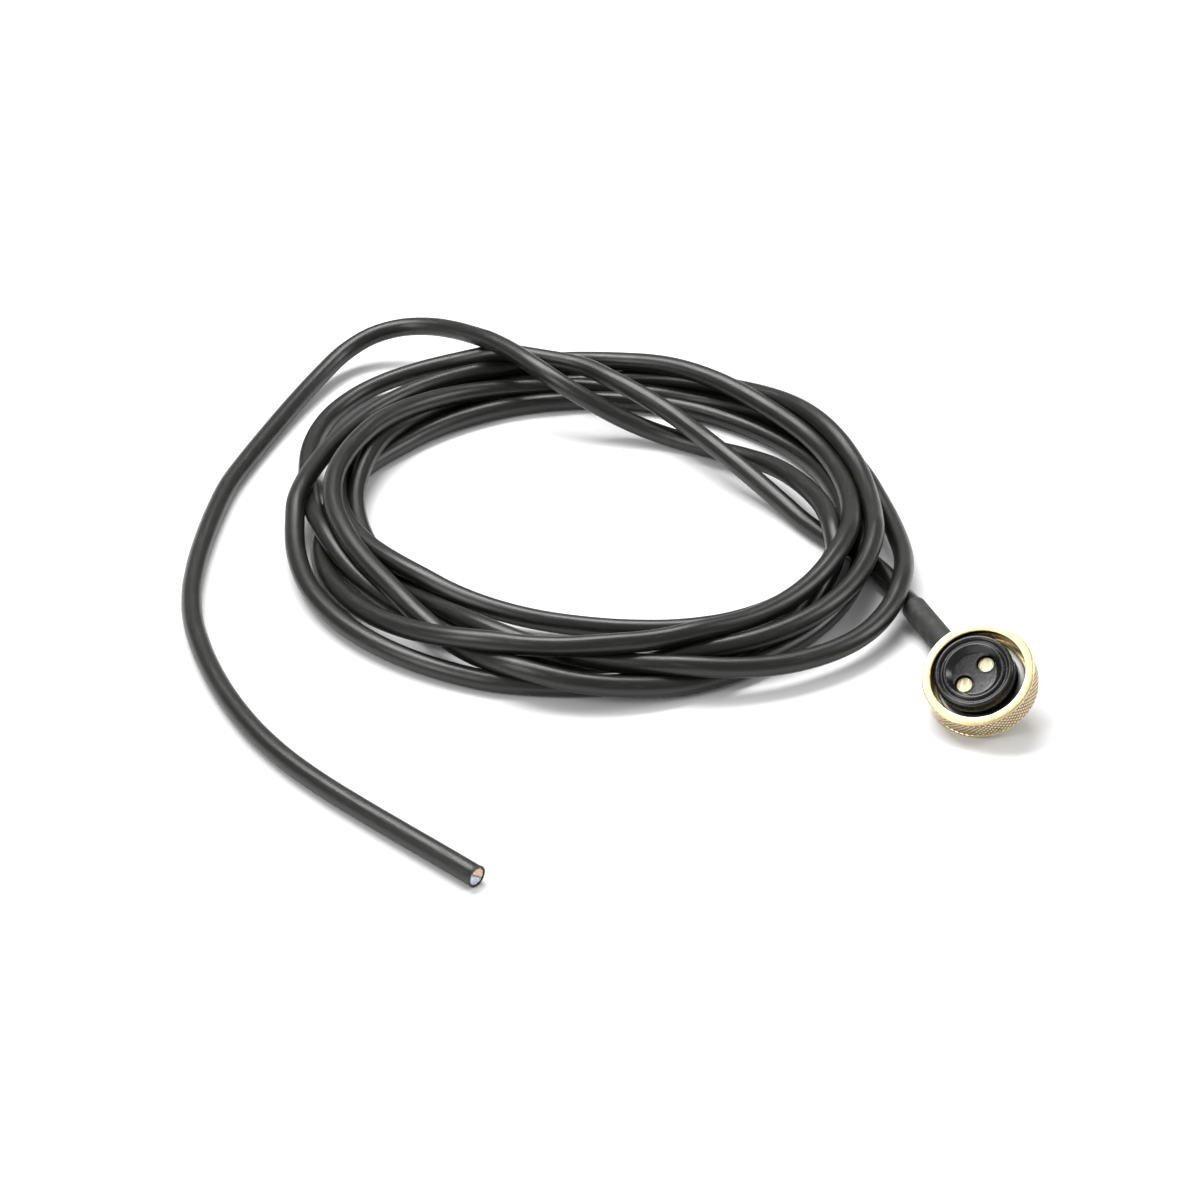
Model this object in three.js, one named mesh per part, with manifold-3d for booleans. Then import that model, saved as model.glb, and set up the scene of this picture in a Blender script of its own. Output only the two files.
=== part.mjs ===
// A right-angle two-pole plug with a loose knurled coupling ring, on a two-core lead that lies in a
// loose coil and whose far end is cut off square. Millimetres, +Z up, the floor at z = 0. The origin
// is the middle of the plug's footprint. The plug lies on the rim of its ring and on its neck.
import * as THREE from "three";
import { mergeVertices } from "three/addons/utils/BufferGeometryUtils.js";
import Module from "manifold-3d";

// ---------------------------------------------------------------- driving dimensions
const GAP = 0.3; // between pieces that touch or are joined
const SLIP = 0.4; // least clearance round a piece that is loose

const CABLE_RADIUS = 3.25;
const JACKET_WALL = 0.8;
const CABLE_CLEARANCE = 0.2; // round the cable in the neck and the boot
const CORE_RADIUS = 1.15;
const CONDUCTOR_RADIUS = 0.75;

const STEM_RADIUS = 10; // the insert's stem, which the ring and the washer hang on
const HEAD_OVERHANG = 2; // of the insert's head past its stem, in front of the washer
const SPIGOT_STEP = 1.5; // in from the stem to the spigot behind it
const SPIGOT_LENGTH = 0.9;
const CONTACT_RADIUS = 2.5;
const CONTACT_SPACING = 8.9;
const CONTACT_CLOCKING = THREE.MathUtils.degToRad(-80); // from the plane of the bend
const DISH_RIM = 3.6; // width of the head's face round the dish
const DISH_DEPTH = 2.2;
const CONTACT_RECESS = 0.8; // of a contact's face below the dish's floor
const HEAD_PROUD = 0.2; // of the head's face in front of the ring's

const WASHER_OVERHANG = 1.4; // of the washer past the head
const WASHER_THICKNESS = 0.9;
const WASHER_SAG = 0.9; // how far the loose washer hangs off the stem's axis
const WASHER_SAG_ANGLE = THREE.MathUtils.degToRad(225);

const RING_LENGTH = 8.8;
const RING_WALL = 1.55; // outside the relief that the washer moves in
const RING_FLANGE = 1.4;
const RING_LIP_CLEARANCE = 0.7; // round the head when the ring hangs lowest
const RING_LIP_LENGTH = 2.4;
const RING_CHAMFER = 0.3;
const RING_SAG = 1.6; // how far the loose ring hangs off the stem's axis
const RING_SAG_ANGLE = THREE.MathUtils.degToRad(196);
const RING_TRAVEL = 2.3;

const COLLAR_THICKNESS = 1.3;
const DOME_SKIRT = 2.1; // wall of the housing round the spigot
const DOME_WALL = 1.8;
const NECK_DROP = 4.8; // from the ring's rear face back to the neck's axis
const NECK_WALL = 0.85;
const NECK_LENGTH = 14.7; // from the plug's axis
const NECK_FLOOR_GAP = 0.5;
const BEND_ANGLE = THREE.MathUtils.degToRad(107.4); // between the plug's axis and its neck
const BOOT_LENGTH = 33;
const BOOT_FRONT_WALL = 0.75;
const BOOT_END_WALL = 0.55;

const PLUG_HEADING = THREE.MathUtils.degToRad(234.9); // of the plug's axis, seen from above
const RING_PLACE = [1.7, -15.3]; // the middle of the ring's rear face, seen from above

const COIL_CENTRE = [-119, 94];
const COIL_HEIGHT = 15.5;
const COIL_MARGIN = 0.5; // between the outermost turns and the coil's outline
// Radii of the coil's innermost and outermost turns at equal steps, counter-clockwise from the back.
const INNER_TURN = [68, 69, 72, 75, 75, 74, 72, 73, 77, 82, 88, 88, 86, 81, 75.5, 70.5];
const OUTER_TURN = [88, 100, 106, 98, 91, 97.5, 106, 107, 108, 112, 104, 99, 94, 89, 86, 84];

// The route of the cable where it isn't in the coil, as points of its centre line.
const LEAD_ROUTE = [
  [-19.2, 46, 4.7],
  [-23.5, 55.5, 3.9],
  [-31, 65.5, CABLE_RADIUS],
];
const OUTER_LOOP_ROUTE = [
  [-80, -14, 12],
  [-62, -7, 12.6],
  [-49, -1, 13.2],
  [-36, 7, 13.6],
  [-25, 17, 13.8],
  [-18.5, 29, 13.8],
  [-16, 41, 13.8],
  [-17, 55, 13.4],
  [-20.5, 69, 13],
  [-26, 84, 12.6],
];
const CHORD_ROUTE = [
  [-31, 65.5, CABLE_RADIUS],
  [-38.8, 75, CABLE_RADIUS],
  [-46, 84.7, 3.4],
  [-52.7, 94.6, 4.6],
  [-60.2, 104, 6.8],
  [-67.9, 113.2, 9],
  [-75.6, 122.8, 10.6],
  [-82.6, 132.2, 11],
  [-90, 141.2, 10.4],
  [-98.5, 150.5, 9],
  [-106, 160, 7.4],
  [-111, 171, 5.8],
];
const TAIL_ROUTE = [
  [-41.2, 43.5, 9.8],
  [-37.2, 56, 10.1],
  [-37, 67, 10.1],
  [-38.6, 77.6, 10.3],
  [-41.6, 87.5, 10.3],
  [-46.8, 98.7, 9.8],
  [-54.4, 111.5, 8],
  [-64.6, 123, 5.2],
  [-75.6, 131, 3.6],
  [-85, 136.4, 3.5],
  [-95.8, 140.8, 5],
  [-107.2, 144.2, 8.8],
  [-118.2, 148, 13.6],
  [-127.5, 153, 17.2],
  [-136.4, 160.9, 19.4],
  [-145.4, 171.4, 19.6],
  [-155.2, 181.6, 18.4],
  [-165.4, 191.4, 16.4],
  [-175, 197.6, 14.4],
  [-185, 199.8, 12.6],
  [-195, 197.4, 10.6],
  [-204.2, 190.4, 7.8],
  [-211.6, 178.5, 5.6],
  [-217.8, 165.2, 4.4],
  [-223.3, 151.2, 3.8],
  [-228.4, 137, 3.4],
  [-233.2, 122.6, CABLE_RADIUS],
  [-237.5, 107.4, CABLE_RADIUS],
  [-240, 91.7, CABLE_RADIUS],
  [-241.7, 75.8, CABLE_RADIUS],
  [-242.6, 59.9, CABLE_RADIUS],
  [-242.3, 43.9, CABLE_RADIUS],
  [-240.1, 28, CABLE_RADIUS],
  [-235.8, 12.6, CABLE_RADIUS],
  [-230.1, -2.3, CABLE_RADIUS],
  [-223.2, -16.7, CABLE_RADIUS],
  [-215, -30.5, CABLE_RADIUS],
  [-205.4, -43.3, CABLE_RADIUS],
  [-194.6, -55, CABLE_RADIUS],
  [-183, -66, CABLE_RADIUS],
  [-171.1, -76.7, CABLE_RADIUS],
  [-159.1, -87.3, CABLE_RADIUS],
  [-147.1, -98, CABLE_RADIUS],
];
const CUT_END_LENGTH = 8; // of the stretch whose cores are modelled

// ---------------------------------------------------------------- sizes that follow
const HEAD_RADIUS = STEM_RADIUS + HEAD_OVERHANG;
const SPIGOT_RADIUS = STEM_RADIUS - SPIGOT_STEP;
const DISH_RADIUS = HEAD_RADIUS - DISH_RIM;
const WASHER_RADIUS = HEAD_RADIUS + WASHER_OVERHANG;
const DOME_RADIUS = SPIGOT_RADIUS + GAP + DOME_SKIRT;
const RING_LIP_BORE = HEAD_RADIUS + RING_SAG + RING_LIP_CLEARANCE;
const RING_HOLE = STEM_RADIUS + RING_SAG + SLIP;
const WASHER_HOLE = STEM_RADIUS + WASHER_SAG + SLIP;
const RING_RELIEF = WASHER_RADIUS + RING_SAG + SLIP;
const RING_RADIUS = RING_RELIEF + RING_WALL;
const COLLAR_RADIUS = RING_HOLE + RING_SAG + SLIP;
const WASHER_REAR = RING_FLANGE + GAP;
const HEAD_REAR = WASHER_REAR + WASHER_THICKNESS + RING_TRAVEL + GAP;
const HEAD_FRONT = RING_LENGTH + HEAD_PROUD;
const DISH_FLOOR = HEAD_FRONT - DISH_DEPTH;
const CONTACT_FRONT = DISH_FLOOR - CONTACT_RECESS;
const SPIGOT_REAR = -GAP - SPIGOT_LENGTH;
const CONTACT_REAR = SPIGOT_REAR - 1.2;
const CONDUCTOR_REAR = CONTACT_REAR - 0.4;
const CABLE_BORE = CABLE_RADIUS + CABLE_CLEARANCE;
const NECK_RADIUS = CABLE_BORE + NECK_WALL;
const BOOT_FRONT_RADIUS = CABLE_BORE + BOOT_FRONT_WALL;
const BOOT_END_RADIUS = CABLE_BORE + BOOT_END_WALL;
const BOOT_START = NECK_LENGTH + GAP;
const BOOT_END = BOOT_START + BOOT_LENGTH;
const JACKET_START = 9.5; // where the sheath is cut back inside the elbow

// The plug rests on the ring's rear rim and on its neck, and its neck is level.
const RIM_RADIUS = RING_RADIUS - RING_CHAMFER;
const REST = Math.hypot(RIM_RADIUS, NECK_DROP);
const TILT = Math.acos((NECK_RADIUS + NECK_FLOOR_GAP) / REST) - Math.atan2(NECK_DROP, RIM_RADIUS);
const CLOCKING = Math.PI - Math.asin(-Math.tan(TILT) / Math.tan(BEND_ANGLE));

// ---------------------------------------------------------------- solids
const wasm = await Module();
wasm.setup();

/** A closed geometry as a manifold solid. */
function solidOf(geometry) {
  const bare = (geometry.index ? geometry.toNonIndexed() : geometry).clone();
  bare.deleteAttribute("normal");
  bare.deleteAttribute("uv");
  const merged = mergeVertices(bare, 1e-4);
  return new wasm.Manifold(
    new wasm.Mesh({
      numProp: 3,
      vertProperties: new Float32Array(merged.attributes.position.array),
      triVerts: new Uint32Array(merged.index.array),
    }),
  );
}

/** A manifold solid as a geometry. */
function geometryOf(solid) {
  const mesh = solid.getMesh();
  const geometry = new THREE.BufferGeometry();
  const points = new Float32Array(mesh.numVert * 3);
  for (let i = 0; i < mesh.numVert; i++)
    for (let k = 0; k < 3; k++)
      points[3 * i + k] = mesh.vertProperties[mesh.numProp * i + k];
  geometry.setAttribute("position", new THREE.BufferAttribute(points, 3));
  geometry.setIndex(new THREE.BufferAttribute(mesh.triVerts, 1));
  geometry.computeVertexNormals();
  return geometry;
}

/** The tool pieces cut away from a geometry. */
function cut(geometry, ...tools) {
  return geometryOf(
    tools.reduce((solid, tool) => solid.subtract(solidOf(tool)), solidOf(geometry)),
  );
}

/** Two geometries joined into one body. */
function join(first, second) {
  return geometryOf(solidOf(first).add(solidOf(second)));
}

/** A body of revolution about Z from [radius, height] corners, which go round counter-clockwise. */
function turned(corners, segments = 48) {
  const points = corners.map(([radius, height]) => new THREE.Vector2(radius, height));
  return new THREE.LatheGeometry(points, segments).rotateX(Math.PI / 2);
}

/** A plain cylinder about Z from one height to another. */
function rod(radius, from, to, segments = 32) {
  return turned([[0, from], [radius, from], [radius, to], [0, to]], segments);
}

/** A bushing about Z. */
function sleeve(radius, bore, from, to, segments = 32) {
  const corners = [[bore, from], [radius, from], [radius, to], [bore, to], [bore, from]];
  return turned(corners, segments);
}

/** A round bar along a smooth line through the points. */
function bar(points, radius, steps, sides = 10) {
  const path = new THREE.CatmullRomCurve3(
    points.map((point) => new THREE.Vector3(...point)),
    false,
    "centripetal",
  );
  const section = new THREE.Shape();
  for (let i = 0; i < sides; i++) {
    const angle = (2 * Math.PI * i) / sides;
    const [x, y] = [radius * Math.cos(angle), radius * Math.sin(angle)];
    if (i === 0) section.moveTo(x, y);
    else section.lineTo(x, y);
  }
  return new THREE.ExtrudeGeometry(section, { steps, extrudePath: path, bevelEnabled: false });
}

// ---------------------------------------------------------------- the scene graph
const part = new THREE.Group();

const BRASS = { color: 0xd9b978, roughness: 0.25, metalness: 1 };
const STEEL = { color: 0xb9bcbe, roughness: 0.35, metalness: 1 };
const MOULDING = { color: 0x1b1b1c, roughness: 0.25, metalness: 0 };
const RUBBER = { color: 0x2a2b29, roughness: 0.5, metalness: 0 };
const SHEATH = { color: 0x1d1d1b, roughness: 0.4, metalness: 0 };
const BROWN = { color: 0x6b3f26, roughness: 0.5, metalness: 0 };
const BLUE = { color: 0x3e6fae, roughness: 0.5, metalness: 0 };
const COPPER = { color: 0xc98a5e, roughness: 0.35, metalness: 1 };
const TINNED = { color: 0xc9c9c4, roughness: 0.3, metalness: 1 };

/** Adds one named piece to a group. */
function piece(group, name, geometry, finish) {
  const mesh = new THREE.Mesh(geometry, new THREE.MeshStandardMaterial(finish));
  mesh.name = name;
  group.add(mesh);
  return mesh;
}

/** A group inside another, at a place in it. */
function place(parent, x, y, z) {
  const group = new THREE.Group();
  group.position.set(x, y, z);
  parent.add(group);
  return group;
}

// The plug's own frame: Z forwards along its axis from the ring's rear face, and X in the plane of
// the bend.
const axis = new THREE.Vector3(
  Math.cos(TILT) * Math.cos(PLUG_HEADING),
  Math.cos(TILT) * Math.sin(PLUG_HEADING),
  Math.sin(TILT),
);
const level = new THREE.Vector3(-Math.sin(PLUG_HEADING), Math.cos(PLUG_HEADING), 0);
const steep = new THREE.Vector3().crossVectors(axis, level);
const bendwards = level.clone().multiplyScalar(Math.cos(CLOCKING));
bendwards.addScaledVector(steep, Math.sin(CLOCKING));
const sideways = new THREE.Vector3().crossVectors(axis, bendwards);

/** The place in the plug's frame of a loose piece's axis. */
function sagged(distance, angle) {
  return [distance * Math.cos(angle), distance * Math.sin(angle)];
}

const ringOffset = sagged(RING_SAG, RING_SAG_ANGLE);
const plug = place(part, ...RING_PLACE, RIM_RADIUS * Math.cos(TILT));
plug.setRotationFromMatrix(new THREE.Matrix4().makeBasis(bendwards, sideways, axis));
plug.position.addScaledVector(bendwards, -ringOffset[0]);
plug.position.addScaledVector(sideways, -ringOffset[1]);

// ---------------------------------------------------------------- ring and washer
const ring = turned([
  [RING_HOLE, 0],
  [RING_RADIUS - RING_CHAMFER, 0],
  [RING_RADIUS, RING_CHAMFER],
  [RING_RADIUS, RING_LENGTH - RING_CHAMFER],
  [RING_RADIUS - RING_CHAMFER, RING_LENGTH],
  [RING_LIP_BORE + RING_CHAMFER, RING_LENGTH],
  [RING_LIP_BORE, RING_LENGTH - RING_CHAMFER],
  [RING_LIP_BORE, RING_LENGTH - RING_LIP_LENGTH],
  [RING_RELIEF, RING_LENGTH - RING_LIP_LENGTH - (RING_RELIEF - RING_LIP_BORE)],
  [RING_RELIEF, RING_FLANGE],
  [RING_HOLE, RING_FLANGE],
  [RING_HOLE, 0],
], 72);
piece(place(plug, ...ringOffset, 0), "coupling_ring", ring, BRASS);

const washerGroup = place(plug, ...sagged(WASHER_SAG, WASHER_SAG_ANGLE), WASHER_REAR);
const washer = sleeve(WASHER_RADIUS, WASHER_HOLE, 0, WASHER_THICKNESS, 56);
piece(washerGroup, "thrust_washer", washer, STEEL);

// ---------------------------------------------------------------- insert and contacts
const contactPlaces = [1, -1].map((side) =>
  sagged((side * CONTACT_SPACING) / 2, CONTACT_CLOCKING),
);
const insertBody = turned([
  [0, SPIGOT_REAR],
  [SPIGOT_RADIUS, SPIGOT_REAR],
  [SPIGOT_RADIUS, 0],
  [STEM_RADIUS, 0],
  [STEM_RADIUS, HEAD_REAR],
  [HEAD_RADIUS, HEAD_REAR],
  [HEAD_RADIUS, HEAD_FRONT - 0.7],
  [HEAD_RADIUS - 0.4, HEAD_FRONT],
  [HEAD_RADIUS - 1.4, HEAD_FRONT],
  [HEAD_RADIUS - 1.8, HEAD_FRONT - 0.8],
  [HEAD_RADIUS - 2.5, HEAD_FRONT - 0.8],
  [HEAD_RADIUS - 2.8, HEAD_FRONT - 0.2],
  [DISH_RADIUS, HEAD_FRONT - 0.2],
  [DISH_RADIUS - 1.6, DISH_FLOOR],
  [0, DISH_FLOOR],
]);
const contactBores = contactPlaces.map(([x, y]) =>
  rod(CONTACT_RADIUS + GAP, SPIGOT_REAR - 1, HEAD_FRONT, 28).translate(x, y, 0),
);
piece(plug, "contact_insert", cut(insertBody, ...contactBores), MOULDING);

const CUP_RADIUS = 1.7;
const CUP_BORE = CONDUCTOR_RADIUS + 0.25;
const CUP_DEPTH = 2;
const contactBody = turned([
  [0, CONTACT_REAR + CUP_DEPTH],
  [CUP_BORE, CONTACT_REAR + CUP_DEPTH],
  [CUP_BORE, CONTACT_REAR],
  [CUP_RADIUS, CONTACT_REAR],
  [CUP_RADIUS, 1],
  [CONTACT_RADIUS, 1],
  [CONTACT_RADIUS, CONTACT_FRONT - 0.25],
  [CONTACT_RADIUS - 0.25, CONTACT_FRONT],
  [0, CONTACT_FRONT],
], 28);
["brown", "blue"].forEach((colour, i) => {
  const side = place(plug, ...contactPlaces[i], 0);
  piece(side, "contact_" + colour, contactBody.clone(), BRASS);
  const conductor = rod(CONDUCTOR_RADIUS, CONDUCTOR_REAR, CONTACT_REAR + CUP_DEPTH - GAP, 16);
  piece(side, "soldered_end_" + colour, conductor, TINNED);
});

// ---------------------------------------------------------------- elbow, boot and cable inside
const neck = place(plug, 0, 0, -NECK_DROP);
neck.rotation.y = BEND_ANGLE;
/** A geometry about the neck's axis, moved into the plug's frame. */
function alongNeck(geometry) {
  return geometry.rotateY(BEND_ANGLE).translate(0, 0, -NECK_DROP);
}

const collarRear = -GAP - COLLAR_THICKNESS;
const domeRear = -NECK_DROP - 3.4;
const dome = turned([
  [0, domeRear],
  [4.4, domeRear + 0.8],
  [7.6, -NECK_DROP - 0.8],
  [DOME_RADIUS - 1.5, -NECK_DROP + 0.3],
  [DOME_RADIUS, -NECK_DROP + 1.4],
  [DOME_RADIUS, collarRear],
  [COLLAR_RADIUS, collarRear],
  [COLLAR_RADIUS, -GAP],
  [0, -GAP],
]);
const socket = rod(SPIGOT_RADIUS + GAP, SPIGOT_REAR - GAP, 1);
const chamber = turned([
  [0, domeRear + DOME_WALL],
  [5, domeRear + DOME_WALL + 0.8],
  [6.6, -NECK_DROP + 0.4],
  [7.6, -NECK_DROP + 1.6],
  [7.6, 0],
  [0, 0],
]);
const elbow = cut(
  join(dome, alongNeck(rod(NECK_RADIUS, 0, NECK_LENGTH))),
  socket,
  chamber,
  alongNeck(rod(CABLE_BORE, 0, NECK_LENGTH + 1)),
);
piece(plug, "elbow_housing", elbow, MOULDING);

const boot = turned([
  [CABLE_BORE, BOOT_START],
  [BOOT_FRONT_RADIUS, BOOT_START],
  [BOOT_END_RADIUS, BOOT_END - 0.6],
  [BOOT_END_RADIUS - 0.3, BOOT_END],
  [CABLE_BORE, BOOT_END],
  [CABLE_BORE, BOOT_START],
], 32);
piece(neck, "strain_relief_boot", boot, RUBBER);
piece(neck, "sheath_in_neck", rod(CABLE_RADIUS, JACKET_START, BOOT_END, 20), SHEATH);

// Each core runs from its contact's cup round the bend to the cut-back end of the sheath.
const sheathFace = new THREE.Vector3(0, 0, JACKET_START - GAP)
  .applyAxisAngle(new THREE.Vector3(0, 1, 0), BEND_ANGLE)
  .add(new THREE.Vector3(0, 0, -NECK_DROP));
["brown", "blue"].forEach((colour, i) => {
  const [x, y] = contactPlaces[i];
  const route = [
    [x, y, CONDUCTOR_REAR - 2 * GAP],
    [x + 0.3, y * 0.92, CONDUCTOR_REAR - 1.4],
    [0.45 * sheathFace.x, y * 0.4, -NECK_DROP - 0.7],
    [sheathFace.x, Math.sign(y) * (CORE_RADIUS + 0.1), sheathFace.z],
  ];
  const finish = colour === "brown" ? BROWN : BLUE;
  piece(plug, "core_in_elbow_" + colour, bar(route, CORE_RADIUS, 10, 8), finish);
});

// ---------------------------------------------------------------- the coil
/** The coil's outline: a smooth closed line through radii at equal steps from the back. */
function coilOutline(radii, margin) {
  const corners = radii.map((radius, i) => {
    const angle = Math.PI / 2 + (2 * Math.PI * i) / radii.length;
    return new THREE.Vector3(
      COIL_CENTRE[0] + (radius + margin) * Math.cos(angle),
      COIL_CENTRE[1] + (radius + margin) * Math.sin(angle),
      0,
    );
  });
  const line = new THREE.CatmullRomCurve3(corners, true, "centripetal");
  return line.getPoints(3 * radii.length).slice(0, -1).map((p) => new THREE.Vector2(p.x, p.y));
}

/** The coil's body, grown by a clearance on every side. */
function coilBody(clearance) {
  const margin = CABLE_RADIUS + COIL_MARGIN + clearance;
  const body = new THREE.Shape(coilOutline(OUTER_TURN, margin));
  body.holes.push(new THREE.Path(coilOutline(INNER_TURN, -margin)));
  return new THREE.ExtrudeGeometry(body, {
    depth: COIL_HEIGHT + 2 * clearance,
    bevelEnabled: false,
  }).translate(0, 0, -clearance);
}

piece(part, "cable_coil", coilBody(0), SHEATH);

// ---------------------------------------------------------------- the cable outside the coil
part.updateMatrixWorld(true);
const lead = [BOOT_END + GAP, BOOT_END + 5].map((distance) =>
  neck.localToWorld(new THREE.Vector3(0, 0, distance)).toArray(),
);
const clear = coilBody(GAP);
const stretches = {
  cable_lead: [[...lead, ...LEAD_ROUTE], 4],
  cable_outer_loop: [OUTER_LOOP_ROUTE, 10],
  cable_chord: [CHORD_ROUTE, 11],
};
for (const [name, [route, steps]] of Object.entries(stretches))
  piece(part, name, cut(bar(route, CABLE_RADIUS, steps), clear), SHEATH);

// The tail stops short of its cut end, whose sheath and cores are separate pieces.
const end = new THREE.Vector3(...TAIL_ROUTE.at(-1));
const before = new THREE.Vector3(...TAIL_ROUTE.at(-2));
const back = before.sub(end).normalize();
const tailEnd = end.clone().addScaledVector(back, CUT_END_LENGTH + GAP);
const tail = [...TAIL_ROUTE.slice(0, -1), tailEnd.toArray()];
piece(part, "cable_tail", cut(bar(tail, CABLE_RADIUS, 46), clear), SHEATH);

// ---------------------------------------------------------------- the cut end
const cutEnd = place(part, end.x, end.y, end.z);
cutEnd.quaternion.setFromUnitVectors(new THREE.Vector3(0, 0, 1), back);
const endJacket = sleeve(CABLE_RADIUS, CABLE_RADIUS - JACKET_WALL, 0, CUT_END_LENGTH, 24);
piece(cutEnd, "cut_sheath", endJacket, SHEATH);

/** The section of a bundle of strands: a ring of round lobes. */
function strandSection(radius, lobes) {
  const section = new THREE.Shape();
  const count = 4 * lobes;
  for (let i = 0; i < count; i++) {
    const angle = (2 * Math.PI * i) / count;
    const reach = radius * (0.93 + 0.07 * Math.cos(lobes * angle));
    const [x, y] = [reach * Math.cos(angle), reach * Math.sin(angle)];
    if (i === 0) section.moveTo(x, y);
    else section.lineTo(x, y);
  }
  return section;
}

["brown", "blue"].forEach((colour, i) => {
  const side = place(cutEnd, 0, (i === 0 ? 1 : -1) * (CORE_RADIUS + 0.05), 0);
  const insulation = sleeve(CORE_RADIUS, CONDUCTOR_RADIUS + 0.1, 0, CUT_END_LENGTH, 16);
  piece(side, "cut_insulation_" + colour, insulation, colour === "brown" ? BROWN : BLUE);
  const strands = new THREE.ExtrudeGeometry(strandSection(CONDUCTOR_RADIUS, 6), {
    depth: CUT_END_LENGTH,
    bevelEnabled: false,
  });
  piece(side, "cut_strands_" + colour, strands, COPPER);
});

export default part;
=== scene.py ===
"""A two-pole right-angle plug with a knurled coupling ring, on a coil of its round cable."""

import logging
import math
from dataclasses import dataclass, field
from enum import Enum
from typing import Sequence

import bmesh
import bpy
import numpy as np
from mathutils import Matrix, Vector


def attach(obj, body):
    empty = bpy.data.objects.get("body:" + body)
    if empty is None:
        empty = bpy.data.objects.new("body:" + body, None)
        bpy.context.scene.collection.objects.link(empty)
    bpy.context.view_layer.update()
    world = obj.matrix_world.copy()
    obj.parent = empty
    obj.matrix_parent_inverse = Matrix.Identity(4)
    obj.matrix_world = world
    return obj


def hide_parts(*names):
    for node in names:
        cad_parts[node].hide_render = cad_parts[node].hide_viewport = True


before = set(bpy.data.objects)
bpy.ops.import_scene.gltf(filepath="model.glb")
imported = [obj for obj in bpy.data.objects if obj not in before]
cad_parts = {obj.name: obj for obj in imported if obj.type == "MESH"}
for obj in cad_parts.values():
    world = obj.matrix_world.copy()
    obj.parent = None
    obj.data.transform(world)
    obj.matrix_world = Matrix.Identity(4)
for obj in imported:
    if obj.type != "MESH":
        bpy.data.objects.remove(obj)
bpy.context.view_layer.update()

log = logging.getLogger("plug_and_cable")

MM = 0.001
TAU = 2 * math.pi
TURNING = "turning"  # the UV map that follows a turned or drawn surface
Colour = tuple[float, float, float]
Corner = tuple[float, float]


class Body(Enum):
    """The bodies that the pieces ride on."""

    FIXED = "plug_and_cable"
    WASHER = "washer"
    RING = "ring"


class Core(Enum):
    """The two poles of the cable."""

    BROWN = 1
    BLUE = -1


# ---------------------------------------------------------------- node graphs


class Signal:
    """An output socket that takes part in plain arithmetic."""

    def __init__(self, graph: "Graph", socket: bpy.types.NodeSocket) -> None:
        """Keeps the graph and the socket."""
        self.graph = graph
        self.socket = socket

    def _with(self, operation: str, other: "Signal | float", swapped: bool = False) -> "Signal":
        """One Math node.

        Args:
            operation: The Math node's operation.
            other: The other operand.
            swapped: Whether the other operand comes first.

        Returns:
            The result.
        """
        first, second = (other, self) if swapped else (self, other)
        return self.graph.add("ShaderNodeMath", {"operation": operation}, {0: first, 1: second})

    def __add__(self, other: "Signal | float") -> "Signal":
        """self + other"""
        return self._with("ADD", other)

    __radd__ = __add__

    def __sub__(self, other: "Signal | float") -> "Signal":
        """self - other"""
        return self._with("SUBTRACT", other)

    def __rsub__(self, other: "Signal | float") -> "Signal":
        """other - self"""
        return self._with("SUBTRACT", other, swapped=True)

    def __mul__(self, other: "Signal | float") -> "Signal":
        """self * other"""
        return self._with("MULTIPLY", other)

    __rmul__ = __mul__

    def __truediv__(self, other: "Signal | float") -> "Signal":
        """self / other"""
        return self._with("DIVIDE", other)

    def __mod__(self, other: "Signal | float") -> "Signal":
        """self % other"""
        return self._with("FLOORED_MODULO", other)

    def __pow__(self, other: "Signal | float") -> "Signal":
        """self ** other"""
        return self._with("POWER", other)

    def __gt__(self, other: "Signal | float") -> "Signal":
        """1 where self is more than other."""
        return self._with("GREATER_THAN", other)

    def __lt__(self, other: "Signal | float") -> "Signal":
        """1 where self is less than other."""
        return self._with("LESS_THAN", other)

    def floor(self) -> "Signal":
        """self rounded down"""
        return self._with("FLOOR", 0.0)

    def cos(self) -> "Signal":
        """The cosine of self."""
        return self._with("COSINE", 0.0)

    def sin(self) -> "Signal":
        """The sine of self."""
        return self._with("SINE", 0.0)


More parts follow.
